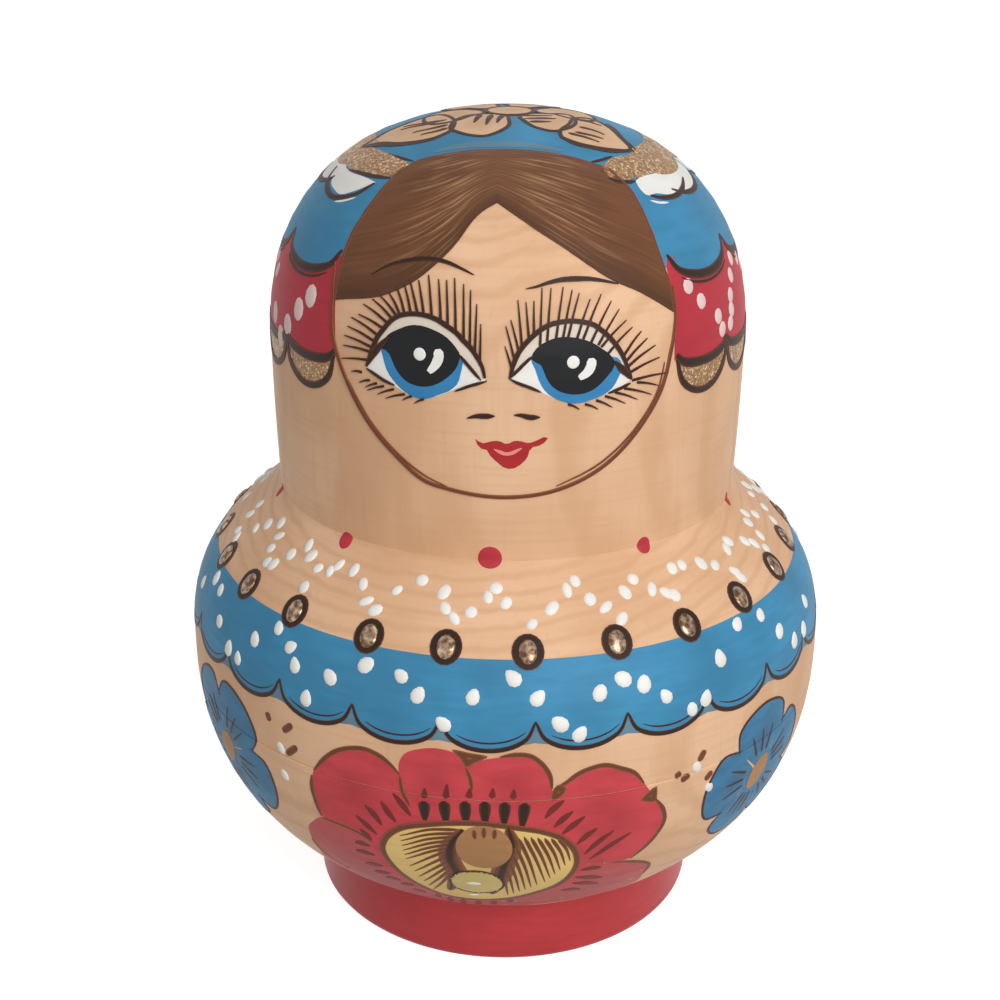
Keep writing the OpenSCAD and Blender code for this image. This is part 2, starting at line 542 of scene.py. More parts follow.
def node(tree, kind, inputs=None, stops=(), **settings):
    """Adds a node with its settings and, on a ramp, its stops; inputs are values, or sockets to link."""
    made = tree.nodes.new(kind)
    for key, value in settings.items():
        setattr(made, key, value)
    for key, value in (inputs or {}).items():
        socket = made.inputs[key]
        if isinstance(value, bpy.types.NodeSocket):
            tree.links.new(value, socket)
        else:
            socket.default_value = rgba(value) if socket.type == "RGBA" else value
    elements = made.color_ramp.elements if stops else ()
    while len(elements) < len(stops):
        elements.new(0.5)
    for element, (position, colour) in zip(elements, stops):
        element.position = position
        element.color = rgba(colour)
    return made


# Sockets of a Mix node that mixes colours
FACTOR, UNDER, OVER = 0, 6, 7
MIXED = 2


def finish_named(name):
    """A new material with its node tree and shader, or with None for both where it was made before."""
    if name in bpy.data.materials:
        return bpy.data.materials[name], None, None
    material = bpy.data.materials.new(name)
    material.use_nodes = True
    tree = material.node_tree
    return material, tree, tree.nodes["Principled BSDF"]


def colours():
    """The colours that a user may change."""
    return bpy.context.scene.nesting_doll_colours


def darker(colour, share):
    """A colour with a share of its light left."""
    return [c * share for c in colour]


def speckle(tree, size_mm, stretch=(1, 1, 1), detail=3.0):
    """Noise fixed to the piece, its grains about a size across, longer along an axis with a stretch."""
    mapped = node(tree, "ShaderNodeMapping", {
        "Vector": node(tree, "ShaderNodeTexCoord").outputs["Object"],
        "Scale": [1 / (size_mm / MM * s) for s in stretch]})
    return node(tree, "ShaderNodeTexNoise", {
        "Vector": mapped.outputs["Vector"], "Scale": 1.0, "Detail": detail}).outputs["Fac"]


def sheet_place(tree):
    """Place on a sheet of paint: u along it and v across it."""
    split = node(tree, "ShaderNodeSeparateXYZ", {"Vector": node(tree, "ShaderNodeTexCoord").outputs["UV"]})
    return split.outputs["X"], split.outputs["Y"]


def tinted(tree, under, over, pattern, shares):
    """A colour with another over it, in the shares that a pattern has at its (strength, share) stops."""
    cover = node(tree, "ShaderNodeValToRGB", {"Fac": pattern}, shares).outputs["Color"]
    return node(tree, "ShaderNodeMix", {FACTOR: cover, UNDER: under, OVER: over},
                data_type="RGBA").outputs[MIXED]


def varnish(roughness=0.5, gloss=0.16, coat=0.0):
    """Satin varnish brushed over wood and paint alike, as inputs of a shader."""
    return {"Roughness": roughness, "IOR": 1.47, "Specular IOR Level": gloss, "Coat Weight": coat,
            "Coat Roughness": 0.3}


def dress(tree, shader, colour, look, relief=None, depth_mm=0.04, strength=0.15):
    """Gives a shader its colour, its look as values of inputs, and the relief of its grain."""
    tree.links.new(colour, shader.inputs["Base Color"])
    for key, value in look.items():
        shader.inputs[key].default_value = value
    if relief is not None:
        bump = node(tree, "ShaderNodeBump", {
            "Height": relief, "Strength": strength, "Distance": depth_mm / MM})
        tree.links.new(bump.outputs["Normal"], shader.inputs["Normal"])


# Growth rings of the log, in millimetres apart, and the wave texture's own spacing at a scale of 1
RING_SPACING = 2.0944
WAVE_SPACING = math.pi / 10


def basswood():
    """Turned basswood: pale, with faint streaks up the log, arcs of growth rings and fine lathe marks."""
    material, tree, shader = finish_named("turned_basswood")
    if tree:
        streaks = speckle(tree, 1.1, stretch=(1, 1, 14))
        lathe = speckle(tree, 0.8, stretch=(22, 22, 1))
        blotch = speckle(tree, 22, detail=2.0)
        log = node(tree, "ShaderNodeMapping", {
            "Vector": node(tree, "ShaderNodeTexCoord").outputs["Object"],
            "Location": (0.003, 0.006, 0), "Scale": (1, 1, 0.25)})
        rings = node(tree, "ShaderNodeTexWave", {
            "Vector": log.outputs["Vector"], "Scale": WAVE_SPACING * MM / RING_SPACING, "Distortion": 2.5,
            "Detail": 2.0}, wave_type="RINGS", rings_direction="Z").outputs["Fac"]
        dark = colours().wood_dark
        warm = tinted(tree, colours().wood, dark, blotch, [(0.35, 0.6), (0.62, 0.0)])
        ringed = tinted(tree, warm, dark, rings, [(0.55, 0.0), (1.0, 0.5)])
        turned = tinted(tree, ringed, dark, lathe, [(0.48, 0.0), (0.72, 0.3)])
        flecked = tinted(tree, turned, darker(dark, 0.85), streaks, [(0.54, 0.0), (0.85, 0.2)])
        dress(tree, shader, flecked, varnish(), lathe)
    return material


def gouache(name, colour, deep=0.78, **coating):
    """Gouache under varnish: soft brush marks that run round the doll, thicker paint darker."""
    material, tree, shader = finish_named(name)
    if tree:
        marks = speckle(tree, 1.6, stretch=(5, 5, 0.8))
        pools = speckle(tree, 11, detail=2.0)
        deeper = darker(colour, deep) if isinstance(deep, float) else deep
        brushed = tinted(tree, colour, deeper, marks, [(0.3, 0.5), (0.6, 0.0)])
        pooled = tinted(tree, brushed, deeper, pools, [(0.32, 0.7), (0.65, 0.0)])
        dress(tree, shader, pooled, varnish(**coating), marks)
    return material


def shaded(name, colour, deep):
    """A petal: brushed colour that deepens towards the flower's heart."""
    material, tree, shader = finish_named(name)
    if tree:
        brush = speckle(tree, 2.4, stretch=(2.5, 2.5, 1))
        brushed = tinted(tree, colour, deep, brush, [(0.3, 0.6), (0.6, 0.0)])
        hearted = tinted(tree, brushed, deep, sheet_place(tree)[1], [(0.3, 0.0), (1.0, 0.8)])
        dress(tree, shader, hearted, varnish(), brush)
    return material


def scorched(name, core, edge):
    """A line drawn with a hot point: a dark core between lighter scorched edges."""
    material, tree, shader = finish_named(name)
    if tree:
        sides = node(tree, "ShaderNodeValToRGB", {"Fac": sheet_place(tree)[1]}, [
            (0.0, 1.0), (0.3, 0.0), (0.7, 0.0), (1.0, 1.0)]).outputs["Color"]
        heat = node(tree, "ShaderNodeMix", {FACTOR: 0.4, UNDER: sides, OVER: speckle(tree, 1.4)},
                    data_type="RGBA").outputs[MIXED]
        line = tinted(tree, core, edge, heat, [(0.3, 0.0), (0.75, 1.0)])
        dress(tree, shader, line, varnish(gloss=0.2))
    return material


def hair_wash():
    """Brown wash of the hair: smooth at the sides, and scraped to the wood in strands near the parting."""
    material, tree, shader = finish_named("brown_hair_wash")
    if tree:
        u, v = sheet_place(tree)
        strands_along, strands_across = 2.2, 34.0
        combed = node(tree, "ShaderNodeMapping", {
            "Vector": node(tree, "ShaderNodeTexCoord").outputs["UV"],
            "Scale": (strands_along, strands_across, 1)})
        strands = node(tree, "ShaderNodeTexNoise", {
            "Vector": combed.outputs["Vector"], "Scale": 1.0, "Detail": 3.0}).outputs["Fac"]
        pools = speckle(tree, 9, detail=2.0)
        hair = colours().hair
        brown = tinted(tree, hair, darker(hair, 0.72), pools, [(0.35, 0.6), (0.65, 0.0)])
        near_parting = node(tree, "ShaderNodeValToRGB", {"Fac": u}, [
            (0.08, 0.25), (0.3, 1.0), (0.55, 0.75), (0.75, 0.08)]).outputs["Color"]
        scraped = node(tree, "ShaderNodeValToRGB", {"Fac": strands}, [
            (0.5, 0.0), (0.68, 0.9)]).outputs["Color"]
        light = node(tree, "ShaderNodeMath", {0: near_parting, 1: scraped}, operation="MULTIPLY").outputs[0]
        streaked = node(tree, "ShaderNodeMix", {FACTOR: light, UNDER: brown, OVER: colours().hair_light},
                        data_type="RGBA").outputs[MIXED]
        dark = tinted(tree, streaked, darker(hair, 0.5), strands, [(0.3, 0.6), (0.44, 0.0)])
        hemmed = tinted(tree, dark, linear("#4A2E1D"), v, [(0.8, 0.0), (0.97, 0.75)])
        dress(tree, shader, hemmed, varnish(gloss=0.2), strands, 0.03, 0.2)
    return material


def glitter():
    """Bronze glitter paint: grains that each catch the light their own way. The real grit of about
    0.1 mm is drawn at 0.3 mm so that it shows."""
    material, tree, shader = finish_named("bronze_glitter_paint")
    if tree:
        grains = node(tree, "ShaderNodeTexVoronoi", {
            "Vector": node(tree, "ShaderNodeTexCoord").outputs["Object"], "Scale": MM / 0.3})
        bright = node(tree, "ShaderNodeSeparateColor", {"Color": grains.outputs["Color"]}).outputs["Red"]
        # Partly painted light: grains range from dark to pale bronze, standing for the light each catches;
        # the palest are painted sparkles
        grain_sparkle = node(tree, "ShaderNodeValToRGB", {"Fac": bright}, [
            (0.0, linear("#7E5734")), (0.5, colours().bronze), (0.86, linear("#C39A66")),
            (1.0, linear("#F4DDB0"))]).outputs["Color"]
        dress(tree, shader, grain_sparkle, {"Metallic": 0.25, "Roughness": 0.42},
              grains.outputs["Distance"], 0.2, 0.6)
    return material


def bead_bronze():
    """Bronze paint domed up in a drop: a metal sheen with one bright highlight."""
    material, tree, shader = finish_named("domed_bronze_paint")
    if tree:
        clouds = speckle(tree, 0.9)
        bronze = node(tree, "ShaderNodeValToRGB", {"Fac": clouds}, [
            (0.4, linear("#5E432F")), (0.7, linear("#B79E86"))]).outputs["Color"]
        dress(tree, shader, bronze, {"Metallic": 0.85, "Roughness": 0.25}, clouds, 0.1, 0.5)
    return material


# How each finish is made, and the slot of the record that matches it
FINISHES = {
    "basswood": (basswood, "varnished_basswood"),
    # Sky blue of the scarf and the band
    "blue": (lambda: gouache("blue_gouache", colours().blue, colours().blue_deep), "blue_paint"),
    # Thin grey blue at the cusps of the lobes, with the wood showing through
    "blue_wash": (lambda: gouache("thin_blue_wash", linear("#6A8DA0")), "blue_paint"),
    # Blue petal, greyer towards the heart
    "blue_petal": (
        lambda: shaded("blue_petal_gouache", colours().flower_blue, linear("#3A6480")), "blue_paint"),
    # Clear blue of the eyes
    "iris": (lambda: gouache("iris_blue_gouache", colours().iris), "blue_paint"),
    # Carmine of the scarf's panels and the chest
    "red": (lambda: gouache("red_gouache", colours().red), "red_paint"),
    # Red darkened by scorching, in the dashes and creases of the petals
    "maroon": (lambda: gouache("scorched_red_gouache", linear("#7C3230")), "red_paint"),
    # Red petal, duller towards the heart
    "red_petal": (lambda: shaded("red_petal_gouache", colours().petal, linear("#B23F45")), "red_paint"),
    # Lower petal of thinner red, dusty over the wood
    "dusty_petal": (lambda: shaded("thin_red_gouache", linear("#C25A58"), linear("#A94A4B")), "red_paint"),
    # Red of the foot: a thicker coat that catches soft highlights
    "foot": (
        lambda: gouache("red_lacquer", colours().foot, roughness=0.4, gloss=0.2, coat=0.04), "red_paint"),
    # Bright red of the lips
    "lip": (lambda: gouache("lip_red_gouache", linear("#B23234")), "red_paint"),
    # Pink light on the lips
    "lip_light": (lambda: gouache("lip_pink_gouache", linear("#F0948C")), "red_paint"),
    # White gouache in thick dots and strokes, with soft edges
    "white": (lambda: gouache("white_gouache", colours().white, 0.88, gloss=0.35), "cream_paint"),
    # Beige white under the upper lids: painted shade that the lid casts on the eye white
    "lid": (lambda: gouache("lid_shade_gouache", linear("#E8DACA"), 0.92), "cream_paint"),
    # White gouache that took some red from the panel under it
    "pink": (lambda: gouache("pink_gouache", colours().pink, 0.88), "cream_paint"),
    # Ochre yellow of the flower's heart
    "yellow": (lambda: gouache("yellow_gouache", colours().yellow), "yellow_paint"),
    # Paler yellow of the bud
    "bud": (lambda: gouache("pale_yellow_gouache", linear("#DFCA82")), "yellow_paint"),
    # Tan of the flowers' knobs
    "tan": (lambda: gouache("tan_gouache", colours().tan), "brown_paint"),
    # Petal left as bare wood, shaded brown towards the flower's heart
    "wood_petal": (lambda: shaded("bare_wood_petal", linear("#E4BC98"), linear("#D2A680")), "brown_paint"),
    # Nearly black line of a slow hot point
    "burnt": (lambda: scorched("burnt_line", colours().burnt, darker(colours().scorch, 0.7)), "brown_paint"),
    # Brown line of a quick hot point
    "scorch": (lambda: scorched("scorched_line", colours().scorch, linear("#915F41")), "brown_paint"),
    # Black of the pupils
    "black": (lambda: gouache("black_gouache", colours().black, gloss=0.2), "brown_paint"),
    "hair": (hair_wash, "brown_paint"),
    "glitter": (glitter, "bronze_glitter"),
    "bead": (bead_bronze, "bronze_glitter"),
}

# Sizes beside the largest doll below which a doll gets fewer paints and fewer fine strokes, and the
# paints that then take the place of others
FEW_PAINTS = 0.56
FEW_STROKES = 0.4
PLAINER = {
    "blue_wash": "blue", "blue_petal": "blue", "iris": "blue", "maroon": "burnt", "red_petal": "red",
    "dusty_petal": "red", "foot": "red", "lip": "red", "lip_light": "white", "lid": "white", "pink": "white",
    "bud": "yellow", "tan": "wood_petal", "scorch": "burnt", "black": "burnt", "bead": "glitter",
}


# Places on the photograph, as pixels across and down its frame
HAIR = {
    "left": {
        "top": [(498, 150), (470, 151), (450, 154), (421, 160), (405, 167)],
        "bottom": [(497, 203), (485, 210), (450, 251), (415, 281), (388, 294), (336, 300)],
        "outer": [(405, 167), (388, 184), (367, 211), (351, 238), (340, 273), (336, 300)],
    },
    "right": {
        "top": [(498, 150), (530, 151), (555, 154), (584, 161), (606, 168)],
        "bottom": [(497, 203), (530, 226), (568, 251), (608, 278), (643, 294), (673, 312)],
        "outer": [(606, 168), (627, 187), (646, 222), (661, 262), (670, 289), (673, 312)],
    },
}
PARTING = [(498, 150), (498, 180), (497, 203)]
HAIR_SMUDGE = [(434, 153), (450, 149), (470, 146), (498, 145), (530, 146), (564, 152)]
SCARF_STROKES = [[(379, 154), (391, 156), (402, 159), (414, 162)], [(590, 163), (600, 161), (612, 157)]]
FACE_LINE = [
    (336, 262), (334, 287), (333, 334), (344, 372), (367, 419), (398, 457), (426, 481), (450, 489),
    (509, 497), (556, 490), (603, 466), (638, 429), (662, 386), (669, 358), (675, 311), (672, 286),
]
FACE_LINE_AGAIN = [(556, 486), (601, 462), (635, 428), (658, 388), (664, 362)]
FACE_LINE_LEFT_AGAIN = [(349, 380), (371, 421), (400, 455), (428, 477), (447, 486)]
BROWS = [
    [
        (372, 275), (384, 268), (397, 263), (412, 260), (425, 259), (438, 260), (449, 263), (460, 268),
        (474, 275),
    ],
    [(526, 289), (536, 287), (548, 283), (561, 280), (575, 279), (589, 279), (604, 281), (618, 284)],
]
EYES = {
    "left": {
        "lid": [
            (367, 366), (373, 349), (378, 337), (384, 329), (391, 321), (399, 316), (408, 314),
            (417, 314), (428, 316), (438, 320), (447, 326), (457, 333), (464, 341), (471, 348),
            (477, 357), (482, 366), (485, 378),
        ],
        "under": [
            (367, 368), (377, 375), (386, 381), (395, 386), (414, 397), (440, 395), (456, 389),
            (471, 386), (485, 381),
        ],
        "fold": [
            (388, 337), (399, 330), (412, 327), (423, 327), (434, 331), (445, 337), (454, 346),
            (460, 355), (481, 379),
        ],
        "pupil": [
            (381, 348), (388, 335), (399, 329), (412, 325), (423, 326), (434, 330), (445, 336),
            (454, 345), (460, 355), (459, 362), (455, 370), (448, 377), (439, 383), (430, 386),
            (419, 386), (408, 382), (397, 370), (392, 359), (388, 351),
        ],
        "iris": [
            (381, 346), (383, 356), (387, 370), (395, 382), (404, 391), (414, 397), (425, 399),
            (438, 395), (449, 391), (458, 383), (461, 372), (463, 363), (462, 357), (445, 347),
            (417, 342), (391, 344),
        ],
        "glint": (420, 354),
        "comma": [(438, 349), (439, 357), (436, 364), (429, 372)],
        "creases": [
            [(367, 366), (373, 355), (382, 344), (390, 336)], [(459, 354), (468, 365), (481, 380)],
        ],
        "lashes": [
            ((370, 360), (342, 358)), ((372, 352), (344, 345)), ((372, 347), (345, 335)),
            ((373, 340), (348, 326)), ((378, 335), (352, 317)), ((383, 328), (359, 314)),
            ((387, 322), (364, 304)), ((392, 318), (373, 299)), ((397, 316), (380, 295)),
            ((400, 314), (389, 292)), ((405, 314), (397, 286)), ((411, 313), (405, 284)),
            ((418, 314), (410, 279)), ((424, 314), (419, 280)), ((432, 317), (429, 275)),
            ((441, 321), (439, 279)), ((448, 326), (447, 280)), ((456, 332), (455, 278)),
            ((464, 341), (464, 284)), ((470, 347), (471, 290)), ((475, 353), (477, 304)),
            ((480, 365), (481, 324)),
        ],
        "lower_lid": [
            [(367, 368), (377, 375), (386, 381), (395, 385)], [(455, 391), (466, 387), (487, 381)],
        ],
        "lower_lashes": [
            ((362, 372), (352, 371)), ((370, 380), (360, 382)), ((377, 383), (366, 387)),
            ((384, 386), (368, 390)), ((394, 389), (378, 394)), ((405, 394), (386, 398)),
            ((412, 396), (403, 400)), ((424, 399), (415, 403)),
        ],
    },
    "right": {
        "lid": [
            (510, 378), (514, 363), (519, 352), (526, 343), (533, 336), (542, 329), (552, 324),
            (561, 322), (572, 321), (582, 322), (592, 324), (601, 330), (608, 336), (615, 344),
            (621, 353), (626, 364), (631, 378),
        ],
        "under": [
            (510, 379), (518, 383), (529, 387), (541, 392), (556, 399), (581, 402), (600, 396),
            (620, 387), (631, 379),
        ],
        "fold": [
            (520, 372), (530, 358), (535, 350), (542, 344), (552, 339), (561, 337), (571, 337),
            (582, 339), (593, 343), (601, 348), (608, 353), (614, 361), (629, 378),
        ],
        "pupil": [
            (531, 359), (535, 350), (542, 344), (552, 339), (561, 337), (570, 337), (582, 339),
            (593, 343), (601, 348), (608, 353), (614, 361), (614, 366), (608, 375), (601, 383),
            (592, 390), (580, 394), (570, 394), (561, 392), (550, 384), (545, 375), (541, 365),
        ],
        "iris": [
            (531, 358), (535, 369), (540, 383), (546, 392), (556, 399), (568, 403), (581, 403),
            (593, 399), (603, 395), (612, 388), (618, 378), (622, 366), (620, 360), (601, 356),
            (570, 352), (542, 355),
        ],
        "glint": (573, 362),
        "comma": [(591, 358), (591, 365), (588, 371), (579, 378)],
        "creases": [
            [(509, 379), (517, 371), (526, 362), (534, 355)], [(614, 361), (622, 369), (631, 379)],
        ],
        "lashes": [
            ((513, 373), (505, 346)), ((515, 362), (506, 326)), ((519, 352), (511, 320)),
            ((522, 346), (518, 300)), ((529, 340), (526, 302)), ((534, 336), (534, 301)),
            ((540, 346), (542, 288)), ((547, 341), (551, 288)), ((556, 338), (563, 287)),
            ((563, 337), (572, 290)), ((568, 337), (579, 293)), ((577, 338), (590, 299)),
            ((583, 339), (601, 294)), ((591, 342), (611, 301)), ((598, 345), (619, 309)),
            ((601, 347), (626, 320)), ((608, 353), (632, 327)), ((623, 356), (641, 331)),
            ((625, 362), (647, 338)), ((628, 366), (655, 345)), ((630, 372), (659, 357)),
            ((632, 380), (668, 372)), ((637, 382), (658, 385)),
        ],
        "lower_lid": [
            [(510, 379), (518, 383), (529, 387), (541, 392)], [(608, 393), (620, 388), (630, 383)],
        ],
        "lower_lashes": [
            ((624, 388), (651, 394)), ((615, 392), (637, 399)), ((605, 396), (625, 403)),
            ((596, 400), (612, 407)), ((585, 404), (598, 409)), ((568, 404), (579, 409)),
        ],
    },
}
NOSTRILS = [
    [(467, 418), (476, 416), (486, 416), (495, 416)], [(514, 415), (521, 415), (529, 417), (540, 417)],
]
LIPS = {
    "top": [
        (475, 439), (482, 443), (493, 441), (499, 441), (507, 444), (514, 441), (520, 441), (528, 443),
        (538, 440), (544, 437), (548, 438),
    ],
    "bottom": [
        (475, 439), (480, 448), (487, 450), (489, 454), (497, 462), (505, 468), (511, 469), (520, 465),
        (528, 456), (530, 449), (543, 444), (548, 438),
    ],
    "light": [(494, 449), (500, 452), (506, 454), (512, 453), (518, 450), (522, 448)],
}
CHEST_DOTS = [(490, 558), (346, 540), (643, 545), (281, 490), (726, 499)]
LACE = [
    (281, 523), (268, 524), (256, 528), (250, 514), (260, 504), (238, 530), (237, 537), (279, 536),
    (271, 548), (267, 562), (273, 564), (291, 554), (309, 545), (311, 556), (318, 568), (330, 571),
    (339, 565), (354, 570), (363, 584), (366, 601), (375, 610), (304, 587), (397, 590), (422, 580),
    (444, 592), (445, 608), (454, 618), (471, 612), (488, 597), (496, 588), (506, 603), (532, 624),
    (552, 608), (567, 590), (575, 581), (590, 599), (606, 607), (622, 619), (625, 592), (633, 579),
    (652, 589), (667, 593), (675, 595), (672, 568), (682, 565), (701, 563), (715, 565), (735, 571),
    (741, 577), (728, 541), (727, 549), (745, 541), (754, 543), (766, 548), (760, 535), (748, 522),
    (745, 513), (755, 514), (764, 507), (773, 520), (751, 494), (745, 485), (756, 488),
]
BEADS = [
    (225, 525), (227, 555), (249, 584), (295, 611), (369, 636), (446, 647), (528, 652), (617, 642),
    (687, 625), (740, 597), (774, 566), (785, 538),
]
DROPS = [
    (204, 582), (217, 578), (221, 590), (220, 621), (229, 648), (238, 658), (255, 639), (279, 628),
    (291, 647), (295, 665), (330, 677), (306, 698), (366, 665), (401, 676), (418, 695), (473, 697),
    (443, 724), (513, 678), (538, 698), (560, 724), (580, 734), (600, 693), (623, 679), (644, 684),
    (666, 696), (692, 709), (706, 698), (720, 658), (737, 624), (760, 615), (779, 631), (794, 640),
    (803, 629), (804, 601),
]
PANEL_DOTS = [
    (311, 296), (299, 309), (288, 325), (281, 336), (276, 312), (688, 286), (701, 301), (718, 316),
    (722, 329), (730, 323), (731, 309), (730, 295), (730, 275), (730, 258),
]
CROWN_PETALS = [
    [
        (451, 130), (453, 124), (460, 119), (472, 116), (488, 115), (504, 116), (509, 121), (509, 126),
        (498, 133), (484, 137), (470, 136), (458, 133),
    ],
    [
        (520, 118), (530, 115), (552, 115), (568, 116), (575, 121), (574, 126), (566, 130), (552, 132),
        (538, 129), (526, 123),
    ],
]
CROWN_DASHES = [
    [(481, 116), (474, 124)], [(492, 116), (486, 126)], [(503, 116), (497, 124)],
    [(520, 117), (552, 117)], [(524, 120), (556, 120)], [(529, 123), (551, 123)],
]
CROWN_LEAVES = [
    [
        (365, 146), (377, 139), (389, 132), (406, 125), (424, 119), (438, 116), (450, 118), (455, 123),
        (450, 132), (435, 139), (418, 143), (400, 145), (382, 146),
    ],
    [
        (630, 150), (622, 141), (615, 134), (606, 127), (594, 121), (578, 119), (568, 126), (560, 133),
        (562, 138), (574, 143), (590, 147), (608, 150),
    ],
]
LEAF_HATCH = [
    [(447, 121), (424, 126), (401, 131)], [(448, 126), (430, 130), (413, 134)],
    [(448, 129), (434, 133), (421, 136)], [(441, 122), (420, 125), (404, 128)],
    [(577, 121), (589, 123), (601, 127)], [(579, 128), (592, 131), (604, 136)],
    [(575, 133), (589, 136), (603, 140)], [(568, 134), (584, 138), (599, 143)],
]
LEAF_RIMS = [
    [(365, 147), (379, 145), (400, 145), (418, 143), (435, 139), (450, 132)],
    [(560, 138), (574, 144), (590, 148), (606, 151), (633, 152)],
    [(606, 125), (615, 132), (622, 140), (635, 151)],
]
FRILLS = [
    {
        "top": [(345, 163), (348, 170), (358, 175), (368, 179), (376, 183)],
        "bottom": [(337, 171), (332, 182), (335, 190), (342, 195), (353, 192), (364, 188), (376, 183)],
        "line": [(338, 167), (330, 177), (328, 188), (333, 197), (343, 198), (358, 194), (375, 184)],
        "light": [(335, 202), (345, 201), (356, 198)],
    },
    {
        "top": [(635, 182), (641, 177), (650, 175), (659, 172), (661, 164), (667, 160)],
        "bottom": [
            (635, 182), (640, 190), (647, 196), (654, 194), (671, 195), (680, 189), (678, 174),
            (667, 160),
        ],
        "line": [(650, 196), (658, 198), (667, 198), (677, 195), (682, 187), (682, 178)],
        "light": [(650, 201), (658, 203), (668, 203)],
    },
]
SWAGS = [
    {
        "top": [(345, 162), (351, 153), (364, 148), (380, 151), (396, 158), (411, 165)],
        "bottom": [(345, 163), (352, 170), (362, 173), (374, 176), (388, 178), (411, 165)],
    },
    {
        "top": [(602, 167), (610, 160), (625, 156), (640, 152), (652, 143), (666, 147), (673, 154)],
        "bottom": [(602, 168), (608, 177), (620, 180), (636, 179), (650, 174), (660, 169), (673, 155)],
    },
]
SWAG_LINES = [
    [(350, 171), (362, 174), (375, 177), (391, 179)], [(608, 179), (616, 182), (625, 183), (635, 182)],
]
RED_PETALS = [
    [
        (400, 775), (391, 765), (380, 757), (365, 750), (351, 749), (336, 752), (325, 758), (314, 770),
        (312, 783), (316, 800), (324, 817), (345, 828), (376, 840), (400, 830), (412, 816),
    ],
    [
        (400, 778), (399, 763), (404, 754), (419, 749), (441, 749), (456, 754), (466, 768), (474, 795),
        (470, 818), (440, 824), (412, 818),
    ],
    [
        (466, 768), (480, 761), (496, 758), (514, 756), (530, 757), (542, 765), (550, 777), (552, 790),
        (552, 812), (545, 832), (505, 826), (472, 820),
    ],
    [
        (551, 792), (567, 783), (578, 775), (592, 769), (605, 766), (620, 769), (635, 774), (645, 784),
        (654, 797), (662, 809), (663, 821), (655, 835), (644, 847), (629, 858), (606, 862), (584, 862),
        (556, 838),
    ],
]
LOWER_PETALS = [
    [
        (590, 858), (617, 861), (636, 861), (649, 864), (644, 872), (627, 885), (601, 893), (561, 901),
        (520, 905), (484, 906), (490, 885), (560, 875),
    ],
    [
        (309, 825), (313, 821), (321, 817), (345, 827), (374, 842), (400, 862), (440, 886), (490, 890),
        (490, 906), (457, 902), (419, 896), (382, 886), (350, 872), (326, 857), (318, 846), (310, 833),
    ],
]
PETAL_RIMS = [
    [(314, 770), (325, 758), (336, 751), (351, 748), (365, 749), (380, 756), (391, 765), (400, 775)],
    [(322, 816), (316, 801), (312, 786), (312, 775)],
    [(500, 757), (514, 755), (530, 756), (542, 764), (550, 776), (552, 789)],
    [(554, 789), (567, 782), (578, 774), (592, 768), (605, 765), (620, 768), (635, 773), (644, 783)],
    [(655, 798), (663, 809), (664, 820), (656, 834), (645, 846), (630, 858)],
]
PETAL_CREASES = [
    [(322, 817), (345, 826), (360, 833), (373, 842)], [(400, 776), (402, 790), (410, 806)],
    [(612, 862), (632, 861), (649, 864), (643, 873)], [(312, 838), (322, 850), (335, 860), (350, 868)],
    [(466, 768), (470, 778), (472, 790)],
]
NOTCHES = [
    [(452, 750), (460, 758), (467, 768), (475, 763), (488, 757), (470, 753)],
    [(640, 800), (648, 792), (657, 786), (657, 793), (656, 801), (648, 802)],
    [(553, 790), (559, 784), (567, 788), (560, 797), (552, 801)],
]
STAMENS = [
    [(424, 801), (425, 820)], [(444, 801), (446, 823)], [(465, 801), (466, 824)],
    [(485, 801), (485, 824)], [(505, 802), (504, 825)], [(525, 803), (522, 827)],
]
STAMEN_TIPS = [
    [(424, 798), (425, 788)], [(446, 798), (447, 784)], [(469, 798), (470, 788)],
    [(492, 798), (493, 788)], [(513, 799), (514, 789)],
]
PETAL_DASHES = [
    [(393, 793), (402, 804), (411, 816)], [(381, 801), (388, 812), (396, 822)],
    [(365, 805), (374, 814), (382, 825)], [(356, 815), (366, 824), (377, 834)],
    [(360, 829), (366, 834), (372, 840)], [(355, 842), (362, 843), (370, 846)],
    [(356, 850), (365, 852), (375, 855)], [(366, 863), (374, 864), (383, 866)],
    [(375, 871), (382, 872), (390, 873)], [(386, 877), (393, 878), (401, 880)],
    [(401, 884), (407, 884), (414, 885)], [(413, 889), (419, 890), (426, 892)],
    [(564, 800), (553, 809), (545, 818)], [(573, 811), (564, 818), (554, 827)],
    [(585, 816), (573, 825), (562, 834)], [(597, 828), (587, 835), (577, 844)],
    [(614, 830), (599, 841), (584, 854)], [(631, 832), (610, 845), (589, 859)],
    [(601, 867), (591, 868), (581, 870)], [(602, 877), (588, 877), (575, 877)],
    [(598, 883), (585, 883), (572, 883)], [(580, 889), (570, 889), (561, 890)], [(438, 893), (439, 897)],
    [(450, 897), (451, 901)], [(463, 899), (464, 903)], [(478, 900), (479, 904)],
    [(494, 900), (494, 904)], [(510, 898), (510, 902)],
]
FLOWER_DISC = [
    (383, 844), (388, 835), (400, 828), (428, 824), (475, 823), (520, 828), (545, 832), (562, 838),
    (574, 849), (577, 860), (572, 872), (559, 883), (538, 891), (512, 897), (483, 899), (450, 895),
    (420, 884), (400, 871),
]
HEART_HATCH = [
    ([(459, 829), (430, 829), (400, 835)], [(453, 846), (430, 851), (406, 858)]),
    ([(453, 848), (432, 856), (410, 865)], [(451, 872), (444, 880), (434, 888)]),
    ([(558, 838), (566, 848), (570, 860)], [(524, 836), (535, 857), (545, 881)]),
    ([(519, 838), (529, 860), (537, 884)], [(500, 868), (505, 881), (508, 894)]),
]
HEART_SHADES = [
    [(463, 829), (452, 842), (450, 858), (457, 872), (450, 889)],
    [(508, 827), (512, 843), (505, 862), (500, 878), (492, 893)],
]
FLOWER_KNOB = (484, 848)
KNOB_DASHES = [[(474, 829), (475, 838)], [(484, 827), (484, 837)], [(495, 829), (494, 838)]]
FLOWER_BUD = (477, 882)
